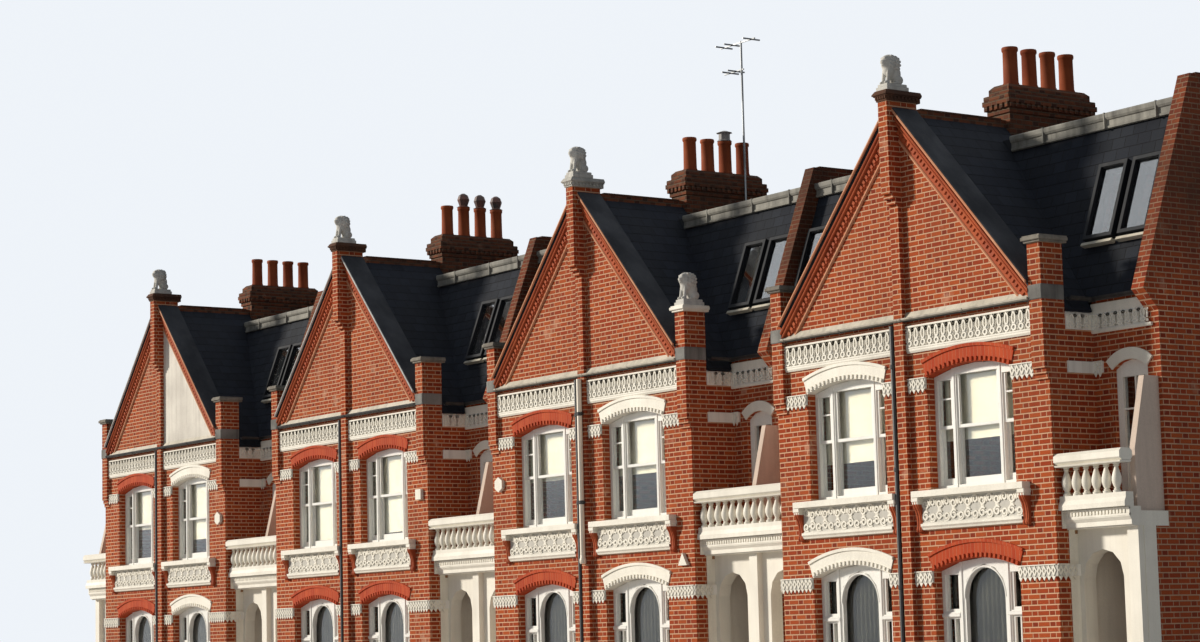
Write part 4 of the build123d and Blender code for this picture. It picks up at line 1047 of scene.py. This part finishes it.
def addSash(x0, x1, z0, z1, y0, y1, bottom):
    stile, rail = sash["stile"], sash["rail"]
    return [addBlock((x0, y0, z0), (x0 + stile, y1, z1)), addBlock((x1 - stile, y0, z0), (x1, y1, z1)),
            addBlock((x0 + stile, y0 + 0.002, z0), (x1 - stile, y1, z0 + bottom)),
            addBlock((x0 + stile, y0 + 0.002, z1 - rail), (x1 - stile, y1, z1))]


def makeUpperSashes():
    low, meet, high = sash["upper"]
    parts = []
    for i, (x0, x1) in enumerate(sash["lights"]):
        parts += addSash(x0, x1, low, meet + 0.02, sash["middle"], sash["back"], sash["bottomRail"])
        parts += addSash(x0, x1, meet - 0.02, high + 0.05, sash["front"], sash["middle"], sash["rail"])
        if i != 1:
            middle = (meet + high) / 2
            half = sash["bar"] / 2
            parts.append(addBlock((x0, sash["front"] + 0.006, middle - half),
                                  (x1, sash["middle"], middle + half)))
    for x in sash["mullions"]:
        parts.append(addPost(x, 0.024, (-4.062, sash["face"]), (low - 0.05, high + 0.02), 0.004))
    return joined(parts)


def makeLowerSashes():
    low, transom, high = sash["lower"]
    parts = []
    for i, (x0, x1) in enumerate(sash["lights"]):
        if i == 1:
            continue
        meet = (low + transom) / 2
        parts += addSash(x0, x1, low, meet + 0.02, sash["middle"], sash["back"], sash["bottomRail"])
        parts += addSash(x0, x1, meet - 0.02, transom, sash["front"], sash["middle"], sash["rail"])
        parts += addSash(x0, x1, transom + 0.05, high + 0.02, sash["front"], sash["middle"], sash["rail"])
        parts.append(addBlock((x0, -4.055, transom - 0.012), (x1, sash["back"], transom + 0.052)))
        parts.append(addBlock((x0 - 0.07, -4.075, transom - 0.02), (x1 + 0.02, sash["face"], transom + 0.035),
                              0.01))
        middle = (x0 + x1) / 2
        parts.append(addPost(middle, sash["bar"] / 2, (sash["front"] + 0.006, sash["back"]), (low, transom)))
    x0, x1 = sash["lights"][1]
    half, middle = (x1 - x0) / 2, (x0 + x1) / 2
    parts += addSash(x0, x1, low, sash["deepSill"], sash["middle"], sash["back"], sash["bottomRail"])
    spring, top = sash["archFoot"], sash["archTop"]
    arch = [(middle - half * math.cos(a), spring + (top - spring) * math.sin(a) * 0.98)
            for a in (math.pi * i / 20 for i in range(21))]
    for (xa, za), (xb, zb) in zip(arch, arch[1:]):
        fill = [(xa, za), (xb, zb), (xb, high + 0.05), (xa, high + 0.05)]
        parts.append(addBar(fill, -4.015, -3.985, "y"))
    shrink = lambda k: [(middle + (x - middle) * k, spring + (z - spring) * k) for x, z in arch]
    for k0, k1, y in ((1.0, 0.93, sash["face"]), (0.99, 0.955, -4.058)):
        parts.append(addBar(shrink(k0) + shrink(k1)[::-1], y, -3.98, "y"))
    for side in (-1, 1):
        parts.append(addLoopAt(middle + side * half * 0.80, 2.63, 0.055, -4.015))
        parts.append(addLoopAt(middle + side * half * 0.93, 2.50, 0.028, -4.015))
        parts.append(addPost(middle + side * half, 0.03, (sash["face"], -3.98), (low, spring)))
    for x in sash["mullions"]:
        parts.append(addPost(x, 0.026, (-4.066, sash["face"]), (low - 0.05, high + 0.02), 0.005))
    return joined(parts)


def addLoopAt(x, z, radius, y):
    return moved(addLoop(x, z, radius, radius, radius * 0.3, 0.012, 0, 12), (0, y, 0))


finish(eachHouse(joined([makeUpperSashes(), makeLowerSashes()])), "windowSashes", "white_timber",
       "white_timber")
print("sashes made")


# plain white returns of the bands on the side and recess walls

sideFrieze = {"squash": (1, 1, 0.70), "side": (3.0, -3.84, 5.86), "sideStart": 0.07, "sideUnits": 3,
              "recess": (3.085, -3.355, 5.86), "recessUnits": 7}


def makeSideFrieze():
    unit, pitch, squash = friezeUnit(), frieze["unit"], sideFrieze["squash"]
    spots = [(sideFrieze["sideStart"] + pitch * i, 0, 0) for i in range(sideFrieze["sideUnits"])]
    side = moved(repeated(copyOf(unit, Matrix.Identity(4)), spots), sideFrieze["side"], 1, squash)
    recess = repeated(unit, [(pitch * i, 0, 0) for i in range(sideFrieze["recessUnits"])])
    return joined([side, moved(recess, sideFrieze["recess"], 0, squash)])


finish(eachHouse(makeSideFrieze()), "sideFriezeRelief", "white_masonry", "white_masonry")


# turned balusters, and the small blocks of the balcony cornice

baluster = {"sides": 12, "shape": [(0.058, 0.0), (0.058, 0.028), (0.040, 0.034), (0.044, 0.048),
                                   (0.032, 0.060), (0.048, 0.090), (0.062, 0.125), (0.069, 0.165),
                                   (0.067, 0.205), (0.056, 0.250), (0.040, 0.295), (0.029, 0.330),
                                   (0.028, 0.345), (0.042, 0.356), (0.034, 0.368), (0.048, 0.384),
                                   (0.058, 0.390), (0.058, 0.42)]}


def makeBalusters():
    return repeated(smooth(addTurned(0, 0, baluster["shape"], baluster["sides"])), feet("balusters"))


finish(makeBalusters(), "turnedBalusters", "white_masonry", "white_masonry", "balusters")


cornice = {"pitch": 0.062, "first": 0.014, "wide": 0.034,
           "rims": ((0.020, 0.207, 0.228), (0.006, 0.120, 0.148))}


def makeCorniceBlocks():
    blocks = []
    step, first = cornice["pitch"], cornice["first"]
    for low, high in solidBoxes("balcony_cornices"):
        count = int((high.x - low.x) / step)
        block = addBlock((0, low.y - 0.012, low.z + 0.150), (cornice["wide"], low.y + 0.03, low.z + 0.205))
        blocks.append(repeated(block, [(low.x + first + step * i, 0, 0) for i in range(count)]))
        for proud, foot, top in cornice["rims"]:
            blocks.append(addBlock((low.x, low.y - proud, low.z + foot), (high.x, low.y + 0.02, low.z + top)))
    for low, high in solidBoxes("balustrade_rails"):
        nosing = [(low.y + 0.012, low.z - 0.026), (low.y + 0.040, low.z - 0.030),
                  (high.y - 0.040, low.z - 0.030), (high.y - 0.012, low.z - 0.004),
                  (low.y + 0.004, low.z - 0.004)]
        blocks.append(addBar(nosing, low.x, high.x))
    return joined(blocks)


finish(makeCorniceBlocks(), "corniceBlocks", "white_masonry", "white_masonry")
print("balconies dressed")


# chimney pots with rolled rims, open at the top

pot = {"sides": 20, "shape": [(0.128, 0.0), (0.128, 0.030), (0.118, 0.045), (0.114, 0.30), (0.112, 0.525),
                              (0.122, 0.535), (0.128, 0.555), (0.128, 0.580), (0.120, 0.598), (0.100, 0.600),
                              (0.092, 0.585), (0.090, 0.30)]}


def makePots():
    return repeated(smooth(addTurned(0, 0, pot["shape"], pot["sides"])), feet("chimney_pots"))


finish(makePots(), "roundPots", "pot_clay", "terracotta", "chimney_pots")


dentil = {"pitch": 0.112, "half": 0.028, "low": 0.382, "high": 0.308, "sunk": 0.002, "first": 0.06,
          "across": 5}


def makeStackDentils():
    # headers standing out under the widest course of the stacks
    blocks = []
    for low, high in solidBoxes("chimney_stacks"):
        z0, z1 = high.z - dentil["low"], high.z - dentil["high"]
        half, sunk, step = dentil["half"], dentil["sunk"], dentil["pitch"]
        count = int((high.y - low.y) / step)
        block = addBlock((low.x + sunk, -half, z0), (high.x - sunk, half, z1))
        blocks.append(repeated(block, [(0, low.y + dentil["first"] + step * i, 0) for i in range(count)]))
        block = addBlock((-half, low.y + sunk, z0), (half, high.y - sunk, z1))
        first = (low.x + high.x) / 2 - 2 * step
        blocks.append(repeated(block, [(first + step * i, 0, 0) for i in range(dentil["across"])]))
        blocks.append(addBlock((low.x + 0.012, low.y + 0.012, high.z - 0.235),
                               (high.x - 0.012, high.y - 0.012, high.z - 0.160), 0.010))
    return joined(blocks)


finish(makeStackDentils(), "stackDentils", "sooty_brick", "brick")


# seated lions, melted into one from rounded masses, those beside the middle in pairs

lion = {"voxel": 0.0065, "masses": [
    # centre, radii
    ((0.0, -0.015, 0.300), (0.124, 0.150, 0.128)),
    ((0.0, -0.060, 0.220), (0.098, 0.088, 0.110)),
    ((0.0, -0.050, 0.392), (0.094, 0.100, 0.060)),
    ((0.0, 0.040, 0.170), (0.090, 0.110, 0.130)),
    ((0.0, 0.050, 0.090), (0.078, 0.090, 0.090)),
    ((0.066, 0.070, 0.070), (0.044, 0.080, 0.072)),
    ((0.080, 0.010, 0.020), (0.028, 0.060, 0.020)),
    ((0.050, -0.146, 0.022), (0.034, 0.050, 0.026)),
    ((0.0, -0.112, 0.352), (0.080, 0.070, 0.080)),
    ((0.0, -0.162, 0.330), (0.048, 0.042, 0.040)),
    ((0.0, -0.156, 0.292), (0.040, 0.034, 0.024)),
    ((0.0, -0.194, 0.344), (0.022, 0.012, 0.013)),
    ((0.036, -0.150, 0.392), (0.026, 0.022, 0.015)),
    ((0.084, -0.070, 0.418), (0.024, 0.020, 0.020))]}


def makeLion():
    # the middle of the plinth's top is the origin, and the face looks along -y
    parts = []
    for (x, y, z), radii in lion["masses"]:
        parts += [moved(addBall((0, 0, 0), radii, 20, 12), (side, y, z)) for side in ((x, -x) if x else (x,))]
    for side in (-1, 1):
        parts.append(addRod((side * 0.052, -0.132, 0.0), (side * 0.050, -0.100, 0.22), 0.030, 12))
        for row in range(4):
            for i in range(7):
                a = math.radians(-66 + 28 * i - 10 * row)
                reach = 0.092 + (0.0, 0.020, 0.024, 0.010)[row]
                lock = (side * (reach + 0.004) * math.cos(a), -0.090 + 0.052 * row,
                        0.308 + reach * 1.08 * math.sin(a))
                parts.append(addBall(lock, (0.018, 0.030, 0.024), 10, 8))
    body = joined(parts)
    pick([body])
    bpy.ops.object.modifier_add(type="REMESH")
    remesh = body.modifiers[-1]
    remesh.mode, remesh.voxel_size = "VOXEL", lion["voxel"]
    bpy.ops.object.modifier_apply(modifier=remesh.name)
    bpy.ops.object.modifier_add(type="SMOOTH")
    body.modifiers[-1].iterations, body.modifiers[-1].factor = 2, 0.5
    bpy.ops.object.modifier_apply(modifier=body.modifiers[-1].name)
    return smooth(body, 60)


def makeLions():
    one = makeLion()
    parts = []
    for low, high in solidBoxes("lions"):
        x, y = (low.x + high.x) / 2, (low.y + high.y) / 2
        parts.append(copyOf(one, Matrix.Translation((x, y, low.z + 0.10))))
        parts.append(addBlock((low.x, low.y, low.z), (high.x, high.y, low.z + 0.060), 0.006))
        parts.append(addBlock((low.x + 0.018, low.y + 0.018, low.z + 0.058),
                               (high.x - 0.018, high.y - 0.018, low.z + 0.104), 0.008))
    drop(one)
    return joined(parts)


finish(makeLions(), "seatedLions", "pale_stone", "pale_stone", "lions")
print("pots and lions made")


# half-round gutters with joints, the lead over them, and the pipes' clips

gutter = {"radius": 0.058, "wall": 0.006, "top": 6.315, "joint": 1.3, "darkPairs": (0, 1)}


def gutterOutline(face, away, grow=0.0):
    # half round, hung off a wall's face at y, away being -1 or 1
    centre = face + away * (gutter["radius"] + 0.003)
    outer = gutter["radius"] + grow
    inner = gutter["radius"] - gutter["wall"]
    arc = lambda r, way: [(centre + away * way * r * math.cos(a), gutter["top"] - 0.004 - r * math.sin(a))
                          for a in (math.pi * i / 8 for i in range(9))]
    return arc(outer, 1) + arc(inner, -1)


def gutterRun(start, end, face, away):
    parts = [addBar(gutterOutline(face, away), start, end)]
    count = max(1, round((end - start) / gutter["joint"]))
    for i in range(count + 1):
        x = min(max(start + (end - start) * i / count, start + 0.04), end - 0.04)
        parts.append(addBar(gutterOutline(face, away, 0.006), x - 0.035, x + 0.035))
    return joined(parts)


frontGutter = gutterRun(0.0, 2.725, wallFace, -1)
darkGutter = copyOf(frontGutter, Matrix.Identity(4))
darkHouses = [house for house in allHouses if house[0] in gutter["darkPairs"]]
finish(eachHouse(frontGutter, others(darkHouses)), "frontGutters", "grey_paint", "black_iron", "gutters")
darkParts = [eachHouse(darkGutter, darkHouses),
             eachHouse(joined([gutterRun(2.98, 4.10, -3.33, -1), gutterRun(0.113, 4.10, rearFace, 1)])),
             eachHouse(moved(gutterRun(0.0, 0.50, 0, -1), (2.975, -3.84, 0), 1))]
finish(joined(darkParts), "darkGutters", "black_iron", "black_iron", "gutters")

strip = offWall([(-0.005, 6.300), (0.018, 6.300), (0.055, 6.322), (0.006, 6.400), (-0.005, 6.405)])
finish(eachHouse(addBar(strip, 0.095, 2.725)), "leadOverGutters", "cream_timber", "cream_timber")


clipHeights = (0.9, 2.4, 4.1, 5.6)


def makeClips():
    parts = []
    for low, high in solidBoxes("downpipes"):
        x, y, radius = (low.x + high.x) / 2, (low.y + high.y) / 2, (high.x - low.x) / 2
        for z in clipHeights:
            if low.z + 0.1 < z < high.z - 0.1:
                parts.append(addTurned(x, y, [(radius + 0.006, z), (radius + 0.010, z + 0.006),
                                              (radius + 0.010, z + 0.055), (radius + 0.004, z + 0.062)], 12))
                parts.append(addBlock((x - radius - 0.03, y - 0.006, z + 0.012),
                                      (x + radius + 0.03, y + 0.03, z + 0.05), 0.004))
    return joined(parts)


waste = {"rings": [(0.040, 3.095), (0.054, 3.105), (0.060, 3.135), (0.060, 3.165), (0.052, 3.190),
                   (0.046, 3.200), (0.046, 3.245), (0.042, 3.250)], "sides": 16, "out": 0.131, "pairs": (2,)}


def makeWasteJoint():
    # the bulb where the waste pipe meets the pipe below it
    return smooth(addTurned(0, wallFace - waste["out"], waste["rings"], waste["sides"]))


finish(eachPair(makeWasteJoint(), waste["pairs"]), "wasteJoint", "pipe_paint", "black_iron")
finish(makeClips(), "pipeClips", "black_iron", "black_iron")
print("gutters and pipes dressed")


# pier blocks and caps

pier = {"x": (2.725, 2.975), "y": (-4.28, -3.86), "blockLow": 6.262, "blockHigh": 6.470}


def makePierBlocks():
    block = addBlock((pier["x"][0] - 0.014, pier["y"][0] - 0.016, pier["blockLow"]),
                     (pier["x"][1] + 0.014, pier["y"][1], pier["blockHigh"]), 0.012)
    return eachHouse(block)


finish(makePierBlocks(), "pierBlocks", "block_stone", "weathered_stone")


def makeApexCap():
    low, high = [b for b in solidBoxes("pier_caps") if b[0].z > 9][0]
    middle = (low.x + high.x) / 2
    x0, x1, y0, y1, z = low.x - middle, high.x - middle, low.y, high.y, low.z
    parts = [addBlock((x0 + 0.045, y0 + 0.045, z), (x1 - 0.045, y1, z + 0.072), 0.004),
             addBlock((x0 + 0.018, y0 + 0.018, z + 0.070), (x1 - 0.018, y1, z + 0.088), 0.004),
             addBlock((x0, y0, z + 0.086), (x1, y1, z + 0.112), 0.006)]
    top = addBlock((x0 + 0.004, y0 + 0.004, z + 0.110), (x1 - 0.004, y1, z + 0.160))
    for vertex in top.data.vertices:
        if vertex.co.z > z + 0.15:
            vertex.co.x *= 0.80
            vertex.co.y = max(vertex.co.y, y0 + 0.040)
    parts.append(top)
    for i in range(5):
        x = x0 + 0.065 + i * (x1 - x0 - 0.13) / 4
        parts.append(addPost(x, 0.016, (y0 + 0.026, y0 + 0.05), (z + 0.030, z + 0.072)))
    for i in range(9):
        y = y0 + 0.065 + i * 0.070
        for side in (-1, 1):
            wide = sorted((side * (x1 - 0.050), side * (x1 - 0.026)))
            parts.append(addBlock((wide[0], y - 0.016, z + 0.030), (wide[1], y + 0.016, z + 0.072)))
    return joined(parts)


def makeSideCap():
    low, high = [b for b in houseBoxes("pier_caps") if b[0].z < 9][0]
    slab = addBlock((low.x, low.y, low.z + 0.030), (high.x, high.y, low.z + 0.082), 0.008)
    under = addBlock((low.x + 0.030, low.y + 0.030, low.z), (high.x - 0.030, high.y, low.z + 0.032), 0.004)
    top = addBlock((low.x + 0.020, low.y + 0.020, low.z + 0.080), (high.x - 0.020, high.y, high.z))
    return joined([slab, under, top])


apexCap = makeApexCap()
brownCap = copyOf(apexCap, Matrix.Identity(4))
whiteHouse, stonePair = [(2, 1)], (2,)
apexCaps = eachPair(apexCap, stonePair)
sideCaps = eachHouse(makeSideCap(), others(whiteHouse))
finish(apexCaps, "apexCaps", "cap_stone", "weathered_stone", "pier_caps")
finish(sideCaps, "sideCaps", "weathered_stone", "weathered_stone", "pier_caps")
finish(eachPair(brownCap, [pair for pair in range(4) if pair not in stonePair]), "brownCaps", "brown_stone",
       "weathered_stone", "pier_caps")
finish(eachHouse(makeSideCap(), whiteHouse), "whiteCap", "white_masonry", "weathered_stone", "pier_caps")
print("pier caps made")


# white render on one half gable, and white strips where the brick meets the porches

panel = {"left": 0.097, "right": 2.722, "foot": 6.330, "belowRake": 0.30, "houses": [(0, 1)]}


def makeRenderPanel():
    slope = math.tan(rake["slope"])
    inner = rake["ridge"] - panel["belowRake"] / math.cos(rake["slope"])
    left, right, foot = panel["left"], panel["right"], panel["foot"]
    outline = [(left, foot), (right, foot), (right, max(foot + 0.01, inner - slope * right)),
               (left, inner - slope * left)]
    return addBar(outline, wallFace - 0.008, wallFace + 0.002, "y")


finish(eachHouse(makeRenderPanel(), panel["houses"]), "whiteRenderPanel", "white_render", "white_masonry")


strips = {"blocks": [((2.970, -3.97, 0.15), (2.982, -3.86, 3.12)),
                     ((2.970, -4.09, 3.12), (2.990, -3.84, 3.36), 0.004),
                     ((2.975, -3.358, 6.085), (4.10, -3.325, 6.222)),
                     ((2.970, -3.86, 6.085), (3.000, -3.33, 6.105))],
          "moulding": [(-3.355, 5.812), (-3.368, 5.83), (-3.368, 5.858), (-3.33, 5.858), (-3.33, 5.812)],
          "run": (2.975, 4.10)}


def makeWhiteStrips():
    blocks = [addBlock(*corners) for corners in strips["blocks"]]
    return joined(blocks + [addBar(strips["moulding"], *strips["run"])])


finish(eachHouse(makeWhiteStrips()), "whiteStrips", "white_masonry", "white_masonry")


# moulded boards on the curb of the flat roof, and caps on the upstands

curb = {"profile": [(-2.440, 8.852), (-2.462, 8.856), (-2.466, 8.884), (-2.450, 8.892), (-2.450, 8.968),
                    (-2.470, 8.980), (-2.486, 9.010), (-2.490, 9.058), (-2.478, 9.079), (-2.440, 9.079)],
        "run": (0.60, 3.985), "covers": (1.30, 2.55, 3.55), "coverHalf": 0.012, "coverY": (-2.496, -2.446),
        "coverZ": (8.850, 9.084)}


def makeCurbBoards():
    boards = [addBar(curb["profile"], *curb["run"])]
    boards += [addPost(x, curb["coverHalf"], curb["coverY"], curb["coverZ"], 0.003) for x in curb["covers"]]
    return joined(boards)


finish(eachHouse(makeCurbBoards()), "curbBoards", "curb_timber", "cream_timber")


upstand = {"party_walls": (-0.002, -2.36, 3.30, 0.026), "chimney_party_walls": (0.010, -3.79, -2.18, 0.020)}


def makeUpstandCaps():
    # how far each cap oversails its wall, its two ends, and its height over the wall's top
    parts = []
    for name, (over, y0, y1, tall) in upstand.items():
        for low, high in solidBoxes(name):
            parts.append(addBlock((low.x - over, y0, high.z - 0.012), (high.x + over, y1, high.z + tall),
                                  0.006))
    return joined(parts)


finish(makeUpstandCaps(), "upstandCaps", "brown_stone", "weathered_stone")


# sills of the roof windows in the front slope

def makeRoofWindowTrim():
    parts = []
    for low, high in houseBoxes("roof_window_frames"):
        if low.y > 0:
            continue
        sill = [(low.y - 0.030, low.z + 0.004), (low.y + 0.055, low.z - 0.030),
                (low.y + 0.075, low.z + 0.010), (low.y + 0.004, low.z + 0.046)]
        parts.append(addBar(sill, low.x - 0.012, high.x + 0.012))
    return joined(parts)


finish(eachHouse(makeRoofWindowTrim()), "roofWindowSills", "cream_timber", "cream_timber")
print("roof dressed")


# doors on the balconies, at the porches and at the rear

def addPanelled(x0, x1, z0, z1, face, away, rows, columns=2):
    # raised mouldings round sunk panels on a door's face
    parts = []
    margin, bar = 0.05, 0.022
    y0, y1 = sorted((face, face + away * 0.014))
    wide, tall = (x1 - x0) / columns, (z1 - z0) / sum(rows)
    z = z0
    for share in rows:
        for column in range(columns):
            a, b = x0 + wide * column + margin, x0 + wide * (column + 1) - margin
            low, high = z + margin, z + tall * share - margin
            sides = ((a, b, low, low + bar), (a, b, high - bar, high), (a, a + bar, low, high),
                     (b - bar, b, low, high))
            parts += [addBlock((left, y0, foot), (right, y1, top), 0.004) for left, right, foot, top in sides]
        z += tall * share
    return parts


def makeBalconyDoorBars():
    low, high = houseBoxes("balcony_doors")[0]
    x0, x1, face = low.x + 0.07, high.x - 0.07, low.y
    parts = addPanelled(x0, x1, low.z + 0.06, low.z + 0.86, face, -1, [1], 2)
    middle = (x0 + x1) / 2
    parts += [addPost(middle, 0.013, (face + 0.02, face + 0.06), (low.z + 0.90, high.z - 0.20)),
              addBlock((x0, face + 0.02, low.z + 1.42), (x1, face + 0.06, low.z + 1.445)),
              addBlock((low.x, face - 0.02, low.z + 0.86), (high.x, face + 0.004, low.z + 0.90), 0.006)]
    return joined(parts)


finish(eachHouse(makeBalconyDoorBars()), "balconyDoorBars", "white_timber", "white_timber")


def makeFrontDoorPanels():
    low, high = houseBoxes("front_doors")[0]
    parts = addPanelled(low.x + 0.04, high.x - 0.04, low.z + 0.08, high.z - 0.06, low.y, -1, [3, 4])
    flap = addBlock((low.x + 0.30, low.y - 0.012, low.z + 0.90), (high.x - 0.30, low.y, low.z + 0.94), 0.003)
    return joined(parts + [flap])


finish(eachHouse(makeFrontDoorPanels()), "frontDoorPanels", "door_paint", "door_paint")


def makeRearDoorPanels():
    low, high = houseBoxes("rear_doors")[0]
    return joined(addPanelled(low.x + 0.05, high.x - 0.05, low.z + 0.08, high.z - 0.06, high.y, 1, [2, 3]))


finish(eachHouse(makeRearDoorPanels()), "rearDoorPanels", "door_paint", "door_paint")


def makeKnobs():
    level, inset, stand, long = 1.12, 0.09, 0.035, 0.03
    knob = []
    front, back = houseBoxes("front_doors")[0], houseBoxes("rear_doors")[0]
    for x, y, away in ((front[0].x + inset, front[0].y, -1), (back[0].x + inset, back[1].y, 1)):
        knob += [addBall((x, y + away * stand, level), (0.026, 0.022, 0.026), 12, 8),
                 addRod((x, y, level), (x, y + away * long, level), 0.010, 8)]
    return smooth(joined(knob))


finish(eachHouse(makeKnobs()), "doorKnobs", "cowl_metal", "cowl_metal")


def makeRearSashes():
    parts = []
    for low, high in houseBoxes("rear_windows"):
        x0, x1, y = low.x + 0.055, high.x - 0.055, high.y
        meet = (low.z + high.z) / 2
        middle = (x0 + x1) / 2
        parts += addSash(x0, x1, low.z + 0.055, meet + 0.02, y - 0.075, y - 0.045, 0.075)
        parts += addSash(x0, x1, meet - 0.02, high.z - 0.055, y - 0.045, y - 0.012, sash["rail"])
        parts.append(addPost(middle, 0.012, (y - 0.07, y - 0.018), (low.z + 0.06, high.z - 0.06)))
    return joined(parts)


finish(eachHouse(makeRearSashes()), "rearSashes", "white_timber", "white_timber")
print("doors and rear windows dressed")


# blinds in the upper windows, cream to give their pale reflection (painted reflection), and net curtains in
# the lower ones, near black to give the dark rooms behind (painted shade)

cloth = {"blindDrops": [0.86, 1.20, 1.48, 1.46, 0.84, 0.90, 1.10, 0.95], "left": 0.545, "right": 2.165,
         "top": 5.44, "y": -3.918, "netTop": 2.66, "netFoot": 1.00, "fold": 0.014, "foldPitch": 0.095}


def hungSheet(name, x0, x1, z0, z1, y, fold, columns, rows, finishName, house):
    # a grid stood up and folded
    clearSelection()
    bpy.ops.mesh.primitive_grid_add(x_subdivisions=columns, y_subdivisions=rows, size=1)
    piece = bpy.context.object
    for vertex in piece.data.vertices:
        u, v = vertex.co.x + 0.5, vertex.co.y + 0.5
        run = (x1 - x0) * u
        wave = fold * math.sin(2 * math.pi * run / cloth["foldPitch"]) * (0.55 + 0.45 * (1 - v))
        vertex.co = (x0 + run, y + wave, z0 + (z1 - z0) * v)
    piece = eachHouse(smooth(piece, 80), [house])
    finish(piece, name, finishName, "white_timber")
    return piece


for number, house in enumerate(allHouses):
    hungSheet("blind%d" % (number + 1), cloth["left"], cloth["right"],
              cloth["top"] - cloth["blindDrops"][number], cloth["top"], cloth["y"], 0.0015, 24, 8,
              "blind_cloth", house)
    hungSheet("netCurtain%d" % (number + 1), cloth["left"], cloth["right"], cloth["netFoot"], cloth["netTop"],
              cloth["y"], cloth["fold"], 120, 4, "net_painted_shade", house)
print("blinds and curtains hung")
